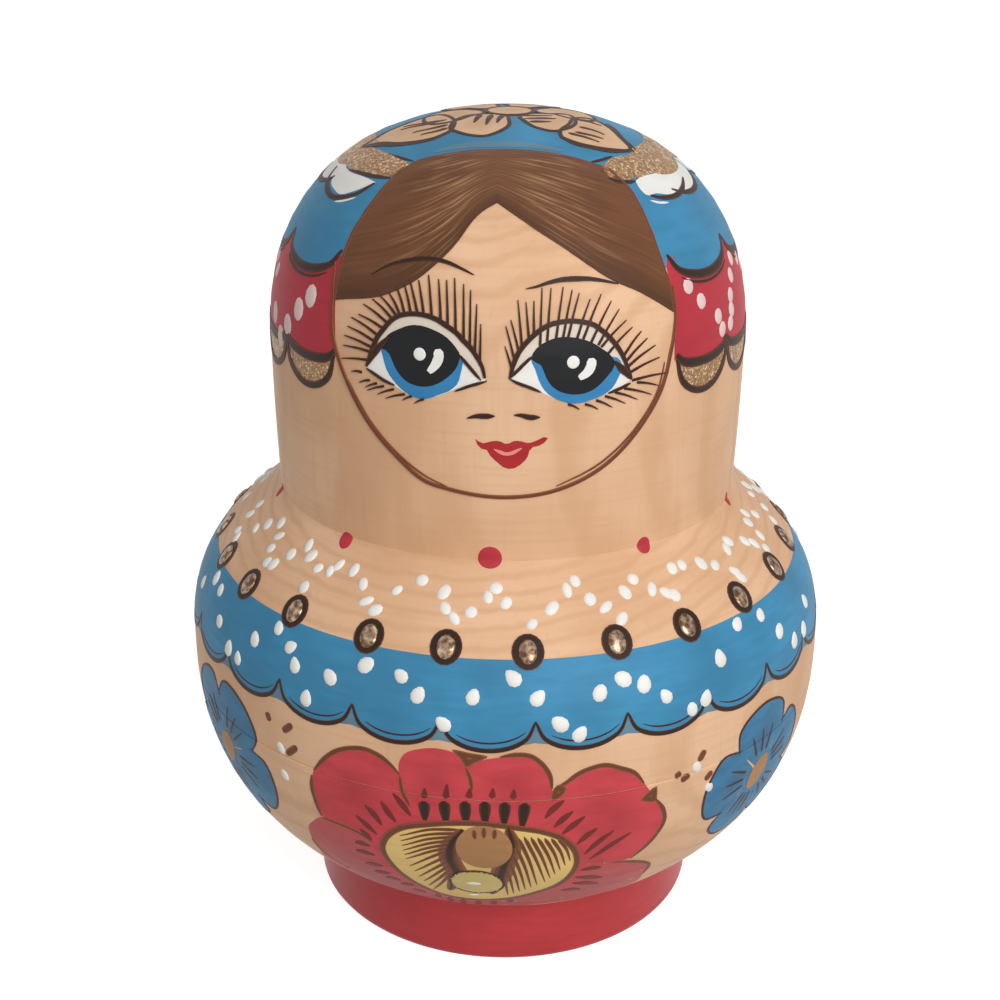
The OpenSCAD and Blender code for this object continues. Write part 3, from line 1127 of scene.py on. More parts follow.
BUD_GLINTS = [(474, 882), (474, 893)]
SMALL_DASHES = [
    [(267, 712), (270, 721)], [(283, 731), (292, 725)], [(287, 754), (297, 747)],
    [(699, 761), (705, 750)], [(675, 777), (681, 773)], [(681, 781), (689, 774)],
    [(705, 780), (712, 771)],
]
SMALL_DOTS = [(281, 748), (285, 775), (697, 767), (709, 787)]


# Ornaments, as heights up the largest doll in millimetres and angles from the front in degrees
SCARF_PITCH, SCARF_FIRST, SCARF_LOBES = 27.3, 42.0, 10
SCARF_CUSP, SCARF_DIP, SCARF_UNDER_HAIR = 122.3, 118.5, 131.0
PANEL_PITCH, PANEL_FIRST, PANEL_LOBES = 19.86, 40.3, 14
PANEL_CUSP, PANEL_DIP, CRESCENT_DIP = 108.0, 106.0, 101.3
FRILL_LOBES = 8
FRILL_TOP, FRILL_CUSP, FRILL_DIP = 132.3, 131.4, 129.0
SWAG_TOP, SWAG_CUSP, SWAG_DIP = 135.0, 132.6, 131.3
BAND_PITCH, BAND_FIRST, BAND_LOBES = 15.0, 4.9, 24
BAND_TOP, BAND_CUSP, BAND_DIP = 67.0, 58.7, 54.2
WASH_CUSP, WASH_DIP = 55.6, 55.0
FOOT_TOP, FOOT_EDGE, FOOT_BOTTOM = 11.8, 1.2, 0.03

# Side flowers: angle, height and radius, then the notches between petals in degrees clockwise from up
SIDE_FLOWERS = [
    (-58.1, 39.1, 14.5, [-75, -3, 69, 141, 213]),
    (49.9, 38.8, 13.6, [-126, -45, 38, 103, 168]),
    (124.0, 39.0, 14.0, [-110, -38, 34, 106, 178]),
    (236.0, 39.0, 14.0, [-90, -18, 54, 126, 198]),
]
BACK = 180

# Where the scarf comes out from under the hair and over how many degrees it drops, and the angles of
# the panels' ends at their top and foot
SCARF_SHOWS, SCARF_SLANT = 35.0, 5.5
PANEL_START, PANEL_END = (41.2, 39.6), (315.2, 319)

# Ornaments round the back that the photograph doesn't show, in zigzags
PANEL_ZIGZAG = {
    "start": 78, "end": 284, "pitch": 39.72, "high": 117.5, "low": 110.5, "per_pitch": 8, "seed": 11,
    "stray": 0.5}
LACE_ZIGZAG = {
    "start": 92, "end": 268, "pitch": 15.5, "high": 75.0, "low": 70.8, "per_pitch": 6, "seed": 7,
    "stray": 0.7}
DROP_ZIGZAG = {
    "start": 94, "end": 266, "pitch": 15, "high": 65, "low": 56.5, "per_pitch": 3, "seed": 9, "stray": 1.2}

# Seeds of the hand's unevenness in the lace and the drops
LACE_SEED, DROP_SEED = 5, 3

# Sizes of painted ornaments in millimetres: across and up, or a stroke's width; a petal's spread in degrees
PANEL_DOT_LEFT, PANEL_DOT_RIGHT, PANEL_DOT_BACK = (3.0, 3.7), (2.3, 2.5), (2.3, 2.6)
CHEST_DOT = (2.5, 3.0)
CHEST_DOTS_SEEN = [(3.7, 3.9), CHEST_DOT, CHEST_DOT, (1.5, 2.8), (1.5, 2.8)]
CROWN_HEART = 7.6
CROWN_PETAL = {"heart": 4.5, "tip": 14.0, "spread": 52}
KNOB, BUD, SIDE_DOT = (8.8, 9.8), (8.5, 7.6), (1.6, 2.2)
BUD_GLINT_WIDTHS = (2.4, 1.6)
EYE_GLINT, EYE_COMMA, SMUDGE, LIP_LIGHT = 1.9, 1.5, 1.6, 0.55

# A glint's height beside its width, chest dots in all, and strokes in each patch of hatching
BUD_GLINT_SHAPE = 0.42
CHEST_COUNT = 10
HATCH_STROKES = 6

# Angles of the crown's hidden petals and of its hidden leaf beside the right one
CROWN_LEANS = (80, 20, -40, -98)
LEAF_SWING = 112

# How high thick paint stands, in millimetres
PANEL_DOT_HIGH, CHEST_DOT_HIGH, WHITE_DOT_HIGH, SIDE_DOT_HIGH = 0.14, 0.16, 0.3, 0.2
EYE_GLINT_HIGH, BUD_GLINT_HIGH, BEAD_HIGH = 0.1, 0.12, 0.5

# Taper of a quick stroke that thins out
FLICK = {"start": 0.1, "end": 0.8, "least": 0.2}


def even(height):
    """An edge at one height all round."""
    reach = up_to(height)
    return lambda angle: reach


def lobes(pitch, first, cusp, dip):
    """An edge of hanging lobes, from cusps at one height to dips at a lower one."""
    high, low = up_to(cusp), up_to(dip)
    return lambda angle: high + (low - high) * swell((angle - first) / pitch % 1)


def run(edge, start, end, below=0.0, count=10):
    """Points along an edge from one angle to another, some way below it."""
    angles = [start + (end - start) * i / count for i in range(count + 1)]
    return [wood(angle, edge(angle) - below) for angle in angles]


def each_lobe(pitch, first, count, margin=0.0):
    """The angles between which each lobe hangs, short of its cusps by a share of the lobe."""
    for i in range(count):
        yield first + pitch * (i + margin), first + pitch * (i + 1 - margin)


def swung(points, angle):
    """Points turned about the doll's axis, to the right in degrees."""
    turn = Matrix.Rotation(math.radians(angle), 3, "Z")
    return [turn @ p for p in points]


def ring_of(spots, count):
    """Places of a ring of ornaments: those that the photograph shows, then even ones round the back."""
    angles = sorted(angle_of(s) for s in spots)
    height = sum(s.z for s in spots) / len(spots)
    hidden = count - len(spots)
    gap = (angles[0] + 360 - angles[-1]) / (hidden + 1)
    return spots + [wood(angles[-1] + gap * (i + 1), up_to(height)) for i in range(hidden)]


def zigzag(start, end, pitch, high, low, per_pitch, seed, stray):
    """Places along a zigzag round the doll, each strayed a little as by hand."""
    draw = random.Random(seed)
    count = round((end - start) / pitch * per_pitch)
    for i in range(count + 1):
        angle = start + (end - start) * i / count
        share = abs((angle - start) / pitch % 1 * 2 - 1)
        height = low + (high - low) * share
        yield wood(angle + draw.uniform(-stray, stray) / 2, up_to(height + draw.uniform(-stray, stray)))


def local(centre, right, up, x, y):
    """A place on the wood, x and y from a centre."""
    return seat(centre + right * x + up * y)[0]


def oval(centre, across, along, turn=0.0, count=14):
    """Outline of an oval on the wood."""
    right, up = turned_axes(centre, turn)
    angles = [2 * math.pi * i / count for i in range(count)]
    return [local(centre, right, up, across / 2 * math.cos(a), along / 2 * math.sin(a)) for a in angles]


def petal(centre, heart, tip, spread, lean, turn=0.0):
    """Outline of a round petal that leans away from a flower's centre."""
    right, up = turned_axes(centre, turn)
    shape = [(-0.3, 0.0), (-0.46, 0.3), (-0.5, 0.62), (-0.36, 0.9), (0, 1.0),
             (0.36, 0.9), (0.5, 0.62), (0.46, 0.3), (0.3, 0.0)]
    outline = []
    for side, out in shape:
        angle = math.radians(lean + side * spread)
        reach = heart + (tip - heart) * out
        outline.append(local(centre, right, up, reach * math.sin(angle), reach * math.cos(angle)))
    return outline


# Pieces
def turn_wood(doll):
    """The turned wood of a doll, in place of its CAD solids."""
    for name in doll.nodes:
        form = bmesh.new()
        form.from_mesh(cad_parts[name].data)
        bmesh.ops.remove_doubles(form, verts=form.verts, dist=MERGE)
        piece = show(form, f"{name}_wood", "basswood", name)
        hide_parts(name)


def scarf_edge(angle):
    """Lower edge of the blue scarf: lobes round the back, and hidden under the hair in front."""
    away = abs((angle + 180) % 360 - 180)
    share = min(max((away - SCARF_SHOWS) / SCARF_SLANT, 0), 1)
    hang = lobes(SCARF_PITCH, SCARF_FIRST, SCARF_CUSP, SCARF_DIP)(angle)
    return up_to(SCARF_UNDER_HAIR) * (1 - share) + hang * share


def paint_scarf(box):
    """Blue scarf over the crown, with red panels and bronze crescents under its lobes."""
    line = bpy.context.scene.nesting_doll_sizes.line * MM
    panel_edge = lobes(PANEL_PITCH, PANEL_FIRST, PANEL_CUSP, PANEL_DIP)
    crescent_edge = lobes(PANEL_PITCH, PANEL_FIRST, PANEL_CUSP - 0.6, CRESCENT_DIP)
    hang = lobes(SCARF_PITCH, SCARF_FIRST, SCARF_CUSP, SCARF_DIP)

    crescents = box.coat("scarf_crescents", "glitter", 1)
    box.coat("scarf_panels", "red", 2).ring(
        even(SCARF_CUSP + 0.5), panel_edge, PANEL_START, PANEL_END)
    box.coat("scarf", "blue", 3).ring(lambda angle: ALONG[-1], scarf_edge)
    lines = box.coat("scarf_lines", "burnt", 4)
    for start, end in each_lobe(PANEL_PITCH, PANEL_FIRST, PANEL_LOBES):
        inset = PANEL_PITCH * 0.05
        crescents.patch(run(panel_edge, start + inset, end - inset, -0.5),
                        run(crescent_edge, start + inset, end - inset))
        lines.stroke(run(panel_edge, start, end), line * 1.7, start=0.2, end=0.2, least=0.5)
        lines.stroke(run(crescent_edge, start, end), line * 1.2, start=0.2, end=0.2, least=0.4)
    for start, end in each_lobe(SCARF_PITCH, SCARF_FIRST, SCARF_LOBES):
        lines.stroke(run(hang, start, end), line * 1.6, start=0.3, end=0.3, least=0.35)
        lines.stroke(run(hang, start + 3, end - 3, 1.2), line * 0.5)
    for stroke in SCARF_STROKES:
        lines.stroke(photo_spots(stroke), line * 0.7)
    dots = box.coat("scarf_dots", "pink", 2)
    for spot in photo_spots(PANEL_DOTS):
        dots.dot(spot, *(PANEL_DOT_LEFT if spot.x < 0 else PANEL_DOT_RIGHT), PANEL_DOT_HIGH)
    for spot in zigzag(**PANEL_ZIGZAG):
        dots.dot(spot, *PANEL_DOT_BACK, PANEL_DOT_HIGH)


def paint_crown(box):
    """Flower of bare wood on the crown, and the frill of bronze and white round it."""
    line = bpy.context.scene.nesting_doll_sizes.line * MM
    # The hidden lobes go on from the outer ends of the two that the photograph shows
    start = angle_of(photo_spot(FRILLS[1]["bottom"][4]))
    pitch = (angle_of(photo_spot(FRILLS[0]["bottom"][1])) + 360 - start) / FRILL_LOBES
    frill = lobes(pitch, start, FRILL_CUSP, FRILL_DIP)
    swag = lobes(pitch, start, SWAG_CUSP, SWAG_DIP)
    white = box.coat("frill", "white", 4)
    bronze = box.coat("frill_glitter", "glitter", 5)
    lines = box.coat("crown_lines", "burnt", 6)
    for shape in FRILLS:
        white.patch(photo_spots(shape["top"]), photo_spots(shape["bottom"]))
        white.stroke(photo_spots(shape["light"]), line * 0.45)
        lines.stroke(photo_spots(shape["line"]), line, start=0.3, end=0.3, least=0.3)
    for shape in SWAGS:
        bronze.patch(photo_spots(shape["top"]), photo_spots(shape["bottom"]))
    for stroke in SWAG_LINES:
        lines.stroke(photo_spots(stroke), line * 0.8)
    for first, last in each_lobe(pitch, start, FRILL_LOBES, 0.04):
        white.patch(run(even(FRILL_TOP), first, last), run(frill, first, last))
        bronze.patch(run(even(SWAG_TOP), first, last), run(swag, first, last))
        lines.stroke(run(frill, first + 1, last, 0.5), line, start=0.35, end=0.3, least=0.3)

    petals = box.coat("crown_petals", "wood_petal", 4)
    hidden = [petal(wood(0, ALONG[-1] - 0.5), lean=lean, **CROWN_PETAL) for lean in CROWN_LEANS]
    leaves = [photo_spots(p) for p in CROWN_LEAVES]
    leaves.append(swung(leaves[1], LEAF_SWING))
    round_petals = [*hidden, *(photo_spots(p) for p in CROWN_PETALS)]
    for i, outline in enumerate([*leaves, *round_petals]):
        # Each lies a little over the one before it
        petals.at(4 + 0.1 * i).disc(outline)
        lines.stroke(outline, line * 0.7, closed=True)
    for rim in LEAF_RIMS:
        lines.stroke(photo_spots(rim), line * 1.3, start=0.2, end=0.4, least=0.3)
    for dash in CROWN_DASHES:
        lines.stroke(photo_spots(dash), line * 1.1, start=0.2, end=0.6, least=0.2)
    hatch = box.coat("crown_hatch", "burnt", 6)
    for stroke in box.some(LEAF_HATCH):
        hatch.stroke(photo_spots(stroke), line * 0.9, **FLICK)
    heart = oval(wood(0, ALONG[-1]), CROWN_HEART, CROWN_HEART)
    petals.at(6.5).disc(heart)
    lines.at(7.5).stroke(heart, line * 0.8, closed=True)


def paint_hair(box):
    """Hair parted in the middle, and the line round the face."""
    line = bpy.context.scene.nesting_doll_sizes.line * MM
    hair = box.coat("hair", "hair", 5)
    scorch = box.coat("face_line", "scorch", 6)
    for side in HAIR.values():
        outer = photo_spots(side["outer"])
        hair.patch(photo_spots(side["top"]), photo_spots(side["bottom"]), photo_spots(PARTING), outer)
        scorch.stroke(outer, line * 0.6)
    box.coat("hair_smudge", "blue_wash", 4.5).stroke(photo_spots(HAIR_SMUDGE), SMUDGE)
    scorch.stroke(photo_spots(FACE_LINE), line * 0.65, start=0.1, end=0.1, least=0.4)
    scorch.stroke(photo_spots(FACE_LINE_AGAIN), line * 0.3)
    scorch.stroke(photo_spots(FACE_LINE_LEFT_AGAIN), line * 0.3)


def paint_face(box):
    """Brows, eyes, nostrils and lips."""
    lash = bpy.context.scene.nesting_doll_sizes.lash * MM
    lines = box.coat("lashes", "burnt", 6)
    white = box.coat("eye_whites", "white", 1)
    # Beige band from the lid line down to the fold: painted shade under the upper lid
    lid_shades = box.coat("lid_shades", "lid", 1.5)
    iris = box.coat("irises", "iris", 2)
    pupil = box.coat("pupils", "black", 3)
    glints = box.coat("eye_glints", "white", 4)
    for brow in BROWS:
        lines.stroke(photo_spots(brow), lash * 2.2, start=0.5, end=0.5, least=0.15)
    for nostril in NOSTRILS:
        lines.stroke(photo_spots(nostril), lash * 2.1, start=0.5, end=0.25, least=0.1)
    for name, eye in EYES.items():
        lid = photo_spots(eye["lid"])
        white.patch(lid, photo_spots(eye["under"]))
        # Painted shade under the upper lid, over the top of the eye white
        lid_shades.patch(lid, photo_spots(eye["fold"]))
        iris.disc(photo_spots(eye["iris"]))
        pupil.disc(photo_spots(eye["pupil"]))
        glints.dot(photo_spot(eye["glint"]), EYE_GLINT, EYE_GLINT, EYE_GLINT_HIGH, fine=1)
        glints.stroke(photo_spots(eye["comma"]), EYE_COMMA, start=0.1, end=0.5, least=0.5)
        lines.stroke(lid, lash * 2.0, start=0.1, end=0.2, least=0.5)
        outer, inner = eye["creases"] if name == "left" else reversed(eye["creases"])
        lines.stroke(photo_spots(outer), lash * 3.0, start=0.4, end=0.5, least=0.2)
        lines.stroke(photo_spots(inner), lash * 1.3)
        for crease in eye["lower_lid"]:
            lines.stroke(photo_spots(crease), lash * 1.2)
        for root, tip in box.some([*eye["lashes"], *eye["lower_lashes"]]):
            root, tip = photo_spots((root, tip))
            lines.stroke([root, root.lerp(tip, 0.5) + Vector((0, -0.2, 0.15)), tip], lash,
                         start=0, end=0.9, least=0.25)
    box.coat("lips", "lip", 1).patch(photo_spots(LIPS["top"]), photo_spots(LIPS["bottom"]))
    box.coat("lip_light", "lip_light", 2).stroke(photo_spots(LIPS["light"]), LIP_LIGHT)


def paint_collar(box):
    """Red dots on the chest, white lace and a ring of bronze beads."""
    sizes = bpy.context.scene.nesting_doll_sizes
    line, bead, lace = (v * MM for v in (sizes.line, sizes.bead, sizes.lace))
    chest = box.coat("chest_dots", "red", 0)
    hidden_dots = [CHEST_DOT] * (CHEST_COUNT - len(CHEST_DOTS))
    spots = ring_of(photo_spots(CHEST_DOTS), CHEST_COUNT)
    for spot, size in zip(spots, [*CHEST_DOTS_SEEN, *hidden_dots]):
        chest.dot(spot, *size, CHEST_DOT_HIGH, fine=1)
    whites = box.coat("lace", "white", 0)
    draw = random.Random(LACE_SEED)
    for spot in (*photo_spots(LACE), *zigzag(**LACE_ZIGZAG)):
        whites.dot(spot, lace * draw.uniform(0.7, 0.98), lace * draw.uniform(0.92, 1.3),
                   WHITE_DOT_HIGH, turn=draw.uniform(-60, 60))
    rims = box.coat("bead_rims", "burnt", 3)
    domes = box.coat("beads", "bead", 2)
    for spot in ring_of(photo_spots(BEADS), sizes.bead_count):
        rims.stroke(oval(spot, bead * 0.74, bead * 0.88), line * 1.3, closed=True)
        domes.dot(spot, bead * 0.58, bead * 0.78, BEAD_HIGH, fine=1)


def paint_band(box):
    """Blue band of hanging lobes round the shoulder, with white drops."""
    sizes = bpy.context.scene.nesting_doll_sizes
    line, drop = sizes.line * MM, sizes.drop * MM
    edge = lobes(BAND_PITCH, BAND_FIRST, BAND_CUSP, BAND_DIP)
    wash = lobes(BAND_PITCH, BAND_FIRST, WASH_CUSP, WASH_DIP)
    box.coat("band_wash", "blue_wash", 1).ring(even(BAND_CUSP + 1), wash)
    box.coat("band", "blue", 2).ring(even(BAND_TOP), edge)
    lines = box.coat("band_lines", "burnt", 3)
    for start, end in each_lobe(BAND_PITCH, BAND_FIRST, BAND_LOBES):
        lines.stroke(run(edge, start, end), line * 0.85, start=0.25, end=0.25, least=0.4)
        lines.stroke(run(edge, start + 2.5, end - 1.5, -1.2), line * 0.3)
    drops = box.coat("drops", "white", 2)
    draw = random.Random(DROP_SEED)
    for spot in (*photo_spots(DROPS), *zigzag(**DROP_ZIGZAG)):
        size = drop * draw.uniform(0.85, 1.08)
        drops.dot(spot, size * 0.85, size, WHITE_DOT_HIGH, turn=draw.uniform(-60, 60),
                  tail=draw.uniform(0.1, 0.45))


def paint_red_flower(box, name, angle):
    """The large red flower, turned to an angle from the front."""
    line = bpy.context.scene.nesting_doll_sizes.line * MM

    def spots(pixels):
        return swung(photo_spots(pixels), angle)

    petals = box.coat(f"{name}_petals", "red_petal", 1)
    heart_at = sum(spots(FLOWER_DISC), Vector()) / len(FLOWER_DISC)
    petals.at(0.8).disc([heart_at.lerp(p, 1.13) for p in spots(FLOWER_DISC)])
    for i, outline in enumerate(RED_PETALS):
        petals.at(1 + 0.15 * i).disc(spots(outline))
    lower = box.coat(f"{name}_lower_petals", "dusty_petal", 0.5)
    for outline in LOWER_PETALS:
        lower.disc(spots(outline))
    rims = box.coat(f"{name}_rims", "scorch", 2)
    for rim in PETAL_RIMS:
        rims.stroke(spots(rim), line * 0.9, start=0.2, end=0.2, least=0.3)
    for crease in PETAL_CREASES:
        rims.stroke(spots(crease), line * 0.7)
    dark = box.coat(f"{name}_dashes", "maroon", 2)
    for dash in box.some(PETAL_DASHES):
        dark.stroke(spots(dash), line * 1.25, start=0.4, end=0.4, least=0.2)
    for tip in STAMEN_TIPS:
        dark.stroke(spots(tip), line * 1.2, **FLICK)
    heart = box.coat(f"{name}_heart", "yellow", 3)
    heart.disc(spots(FLOWER_DISC))
    lines = box.coat(f"{name}_lines", "burnt", 4)
    for notch in NOTCHES:
        rims.disc(spots(notch))
    for stamen in STAMENS:
        lines.at(2).stroke(spots(stamen), line * 2, start=0.05, end=0.6, least=0.3)
    hatch = box.coat(f"{name}_hatch", "scorch", 4)
    hatch.stroke(spots(FLOWER_DISC), line * 1.2, closed=True)
    for shade in HEART_SHADES:
        hatch.at(3.6).stroke(spots(shade), line * 4, start=0.3, end=0.4, least=0.2)
        lines.at(4.4).stroke(spots(shade), line * 1.4, start=0.3, end=0.4, least=0.2)
    hatch.at(4)
    for first, last in HEART_HATCH:
        for i in range(HATCH_STROKES):
            points = [a.lerp(b, i / (HATCH_STROKES - 1)) for a, b in zip(spots(first), spots(last))]
            hatch.stroke(points, line * 0.75, **FLICK)
    knob_at, bud_at, *glints_at = spots([FLOWER_KNOB, FLOWER_BUD, *BUD_GLINTS])
    box.coat(f"{name}_knob", "tan", 5).disc(oval(knob_at, *KNOB))
    for dash in KNOB_DASHES:
        hatch.at(6).stroke(spots(dash), line * 0.8)
    bud = oval(bud_at, *BUD)
    box.coat(f"{name}_bud", "bud", 6).disc(bud)
    lines.at(6).stroke(bud, line * 0.5, closed=True)
    glints = box.coat(f"{name}_glints", "white", 6.5)
    for spot, across in zip(glints_at, BUD_GLINT_WIDTHS):
        glints.dot(spot, across, across * BUD_GLINT_SHAPE, BUD_GLINT_HIGH)


def paint_flowers(box):
    """The red flower in front and its like behind, with the blue flowers beside them."""
    paint_red_flower(box, "flower", 0)
    paint_red_flower(box, "back_flower", BACK)
    paint_side_flowers(box)


def paint_side_flowers(box):
    """Blue flowers beside the red one, with brown dashes and white dots between."""
    line = bpy.context.scene.nesting_doll_sizes.line * MM
    petals = box.coat("side_petals", "blue_petal", 1)
    lines = box.coat("side_lines", "burnt", 2.5)
    hearts = box.coat("side_hearts", "tan", 3)
    for angle, height, radius, notches in SIDE_FLOWERS:
        centre = wood(angle, up_to(height))
        right, up = turned_axes(centre, 0)
        for i, (first, last) in enumerate(zip(notches, [*notches[1:], notches[0] + 360])):
            middle, spread = (first + last) / 2, (last - first) * 1.05
            outline = petal(centre, radius * 0.15, radius, spread, middle)
            petals.at(1 + 0.2 * i).disc(outline)
            lines.stroke(outline[2:7], line * 0.5)
            for share in (-0.22, 0.0, 0.22):
                lean = math.radians(middle + share * spread)
                points = [local(centre, right, up, r * radius * math.sin(lean), r * radius * math.cos(lean))
                          for r in (0.3, 0.46, 0.64)]
                lines.stroke(points, line * 0.6, **FLICK)
        hearts.disc(oval(centre, radius * 0.34, radius * 0.5, turn=-30))
    dashes = box.coat("side_dashes", "scorch", 1)
    for dash in SMALL_DASHES:
        dashes.stroke(photo_spots(dash), line * 1.4, start=0.2, end=0.2, least=0.5)
    dots = box.coat("side_dots", "white", 0)
    for pixel in SMALL_DOTS:
        dots.dot(photo_spot(pixel), *SIDE_DOT, SIDE_DOT_HIGH, turn=30)


def paint_foot(box):
    """Red foot."""
    red = box.coat("foot", "foot", 1)
    red.ring(even(FOOT_TOP), even(FOOT_EDGE))
    red.ring(even(FOOT_EDGE), even(FOOT_BOTTOM), rows=10)


MOTIFS = (
    paint_scarf, paint_crown, paint_hair, paint_face, paint_collar, paint_band, paint_flowers,
    paint_foot)


def paint_largest(motif):
    """Paints one motif on the largest doll."""
    box = Paintbox(LARGEST)
    motif(box)
    box.done()


class NESTINGDOLL_OT_wood(bpy.types.Operator):
    """Turned wood of every doll"""

    bl_idname = "nesting_doll.wood"
    bl_label = "Wood"

    def execute(self, context):
        for doll in DOLLS:
            turn_wood(doll)
        return {"FINISHED"}


class NESTINGDOLL_OT_scarf(bpy.types.Operator):
    """Blue scarf with red panels"""

    bl_idname = "nesting_doll.scarf"
    bl_label = "Scarf"

    def execute(self, context):
        paint_largest(paint_scarf)
        return {"FINISHED"}


class NESTINGDOLL_OT_crown(bpy.types.Operator):
    """Flower and frill on the crown"""

    bl_idname = "nesting_doll.crown"
    bl_label = "Crown"

    def execute(self, context):
        paint_largest(paint_crown)
        return {"FINISHED"}


class NESTINGDOLL_OT_hair(bpy.types.Operator):
    """Hair and the line round the face"""

    bl_idname = "nesting_doll.hair"
    bl_label = "Hair"

    def execute(self, context):
        paint_largest(paint_hair)
        return {"FINISHED"}


class NESTINGDOLL_OT_face(bpy.types.Operator):
    """Brows, eyes, nostrils and lips"""

    bl_idname = "nesting_doll.face"
    bl_label = "Face"

    def execute(self, context):
        paint_largest(paint_face)
        return {"FINISHED"}


class NESTINGDOLL_OT_collar(bpy.types.Operator):
    """Chest dots, lace and beads"""

    bl_idname = "nesting_doll.collar"
    bl_label = "Collar"

    def execute(self, context):
        paint_largest(paint_collar)
        return {"FINISHED"}


class NESTINGDOLL_OT_band(bpy.types.Operator):
    """Blue band round the shoulder"""

    bl_idname = "nesting_doll.band"
    bl_label = "Band"

    def execute(self, context):
        paint_largest(paint_band)
        return {"FINISHED"}


class NESTINGDOLL_OT_flowers(bpy.types.Operator):
    """Flowers round the belly"""

    bl_idname = "nesting_doll.flowers"
    bl_label = "Flowers"

    def execute(self, context):
        paint_largest(paint_flowers)
        return {"FINISHED"}


class NESTINGDOLL_OT_foot(bpy.types.Operator):
    """Red foot"""

    bl_idname = "nesting_doll.foot"
    bl_label = "Foot"

    def execute(self, context):
        paint_largest(paint_foot)
        return {"FINISHED"}


class NESTINGDOLL_OT_inner_dolls(bpy.types.Operator):
    """Paint of the smaller dolls"""

    bl_idname = "nesting_doll.inner_dolls"
    bl_label = "Inner dolls"

    def execute(self, context):
        for doll in DOLLS[1:]:
            box = Paintbox(doll)
            for motif in MOTIFS:
                motif(box)
            box.done()
        return {"FINISHED"}


def softbox(name, place, size, watts):
    """A square lamp that faces the doll."""
    lamp = bpy.data.lights.new(name, "AREA")
    lamp.size = size
    lamp.energy = watts
    holder = bpy.data.objects.new(name, lamp)
    holder.location = place
    holder.rotation_euler = (TARGET - Vector(place)).to_track_quat("-Z", "Y").to_euler()
    bpy.context.scene.collection.objects.link(holder)


def seen_directly(tree):
    """1 for what the camera sees, also in a mirror or through glass, and 0 for what lights the doll."""
    path = node(tree, "ShaderNodeLightPath")
    mirrored = node(tree, "ShaderNodeMath", {
        0: path.outputs["Is Glossy Ray"], 1: path.outputs["Is Transmission Ray"]}, operation="MAXIMUM")
    return node(tree, "ShaderNodeMath", {
        0: path.outputs["Is Camera Ray"], 1: mirrored.outputs[0]}, operation="MAXIMUM").outputs[0]


def pale_floor():
    """Matt pale board: shows the doll's shadow, and is lifted to white for the camera alone."""
    material, tree, shader = finish_named("matt_pale_board")
    if tree:
        pale = colours().floor
        grit = node(tree, "ShaderNodeValToRGB", {"Fac": speckle(tree, 4)}, [
            (0.3, darker(pale, 0.985)), (0.7, pale)]).outputs["Color"]
        dress(tree, shader, grit, {
            "Roughness": 0.9, "Specular IOR Level": 0.1, "Emission Color": (1, 1, 1, 1)})
        lift = node(tree, "ShaderNodeMath", {0: seen_directly(tree), 1: FLOOR_LIFT}, operation="MULTIPLY")
        tree.links.new(lift.outputs[0], shader.inputs["Emission Strength"])
    return material


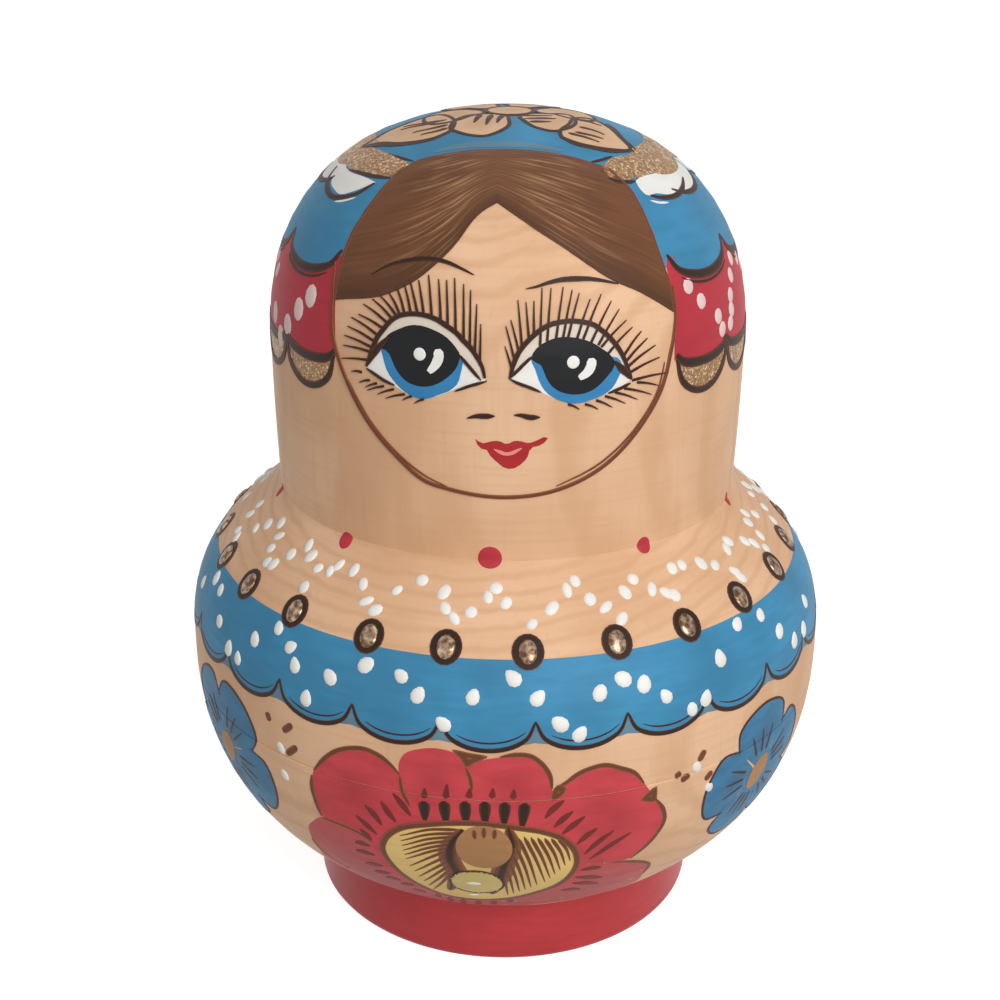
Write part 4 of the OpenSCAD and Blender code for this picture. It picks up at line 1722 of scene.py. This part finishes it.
class NESTINGDOLL_OT_stage(bpy.types.Operator):
    """Floor, soft lamps, world and camera"""

    bl_idname = "nesting_doll.stage"
    bl_label = "Stage"

    def execute(self, context):
        scene = context.scene
        form = bmesh.new()
        bmesh.ops.create_grid(form, x_segments=1, y_segments=1, size=FLOOR_HALF)
        mesh = bpy.data.meshes.new("floor")
        form.to_mesh(mesh)
        form.free()
        mesh.materials.append(pale_floor())
        floor = bpy.data.objects.new("floor", mesh)
        scene.collection.objects.link(floor)
        floor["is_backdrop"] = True
        for lamp in LAMPS:
            softbox(*lamp)
        world = bpy.data.worlds.new("white_room")
        world.use_nodes = True
        tree = world.node_tree
        backdrop = tree.nodes["Background"]
        backdrop.inputs["Color"].default_value = (1, 1, 1, 1)
        strength = node(tree, "ShaderNodeMapRange", {
            "Value": seen_directly(tree), "To Min": ROOM_LIGHT, "To Max": 1.0})
        tree.links.new(strength.outputs["Result"], backdrop.inputs["Strength"])
        scene.world = world
        scene.view_settings.view_transform = "Standard"
        camera = bpy.data.cameras.new("camera")
        camera.sensor_width = SENSOR
        camera.lens = LENS
        camera.shift_x, camera.shift_y = SHIFT
        camera.clip_start = 0.01
        holder = bpy.data.objects.new("camera", camera)
        holder.matrix_world = Matrix.Translation(EYE) @ LOOK.to_4x4()
        scene.collection.objects.link(holder)
        scene.camera = holder
        return {"FINISHED"}


class NESTINGDOLL_PT_panel(bpy.types.Panel):
    """Lists the pieces of the dolls in the order in which they are made"""

    bl_label = "Nesting Dolls"
    bl_idname = "NESTINGDOLL_PT_panel"
    bl_space_type = "VIEW_3D"
    bl_region_type = "UI"
    bl_category = "Nesting Dolls"

    def draw(self, context):
        for group in (context.scene.nesting_doll_sizes, context.scene.nesting_doll_colours):
            box = self.layout.box()
            for name in group.__annotations__:
                box.prop(group, name)
        for operator in OPERATORS:
            self.layout.operator(operator.bl_idname)


OPERATORS = (
    NESTINGDOLL_OT_stage, NESTINGDOLL_OT_wood, NESTINGDOLL_OT_scarf, NESTINGDOLL_OT_crown,
    NESTINGDOLL_OT_hair, NESTINGDOLL_OT_face, NESTINGDOLL_OT_collar, NESTINGDOLL_OT_band,
    NESTINGDOLL_OT_flowers, NESTINGDOLL_OT_foot, NESTINGDOLL_OT_inner_dolls,
)
CLASSES = (NestingDollSizes, NestingDollColours, *OPERATORS, NESTINGDOLL_PT_panel)


def register():
    for cls in CLASSES:
        bpy.utils.register_class(cls)
    bpy.types.Scene.nesting_doll_sizes = PointerProperty(type=NestingDollSizes)
    bpy.types.Scene.nesting_doll_colours = PointerProperty(type=NestingDollColours)


def unregister():
    del bpy.types.Scene.nesting_doll_colours
    del bpy.types.Scene.nesting_doll_sizes
    for cls in reversed(CLASSES):
        bpy.utils.unregister_class(cls)


def main():
    register()
    for operator in OPERATORS:
        group, name = operator.bl_idname.split(".")
        getattr(getattr(bpy.ops, group), name)()
    boxes = {"cad": CAD_BOX, "visual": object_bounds()}
    {name: [list(corner) for corner in box] for name, box in boxes.items()}


if __name__ == "__main__":
    main()
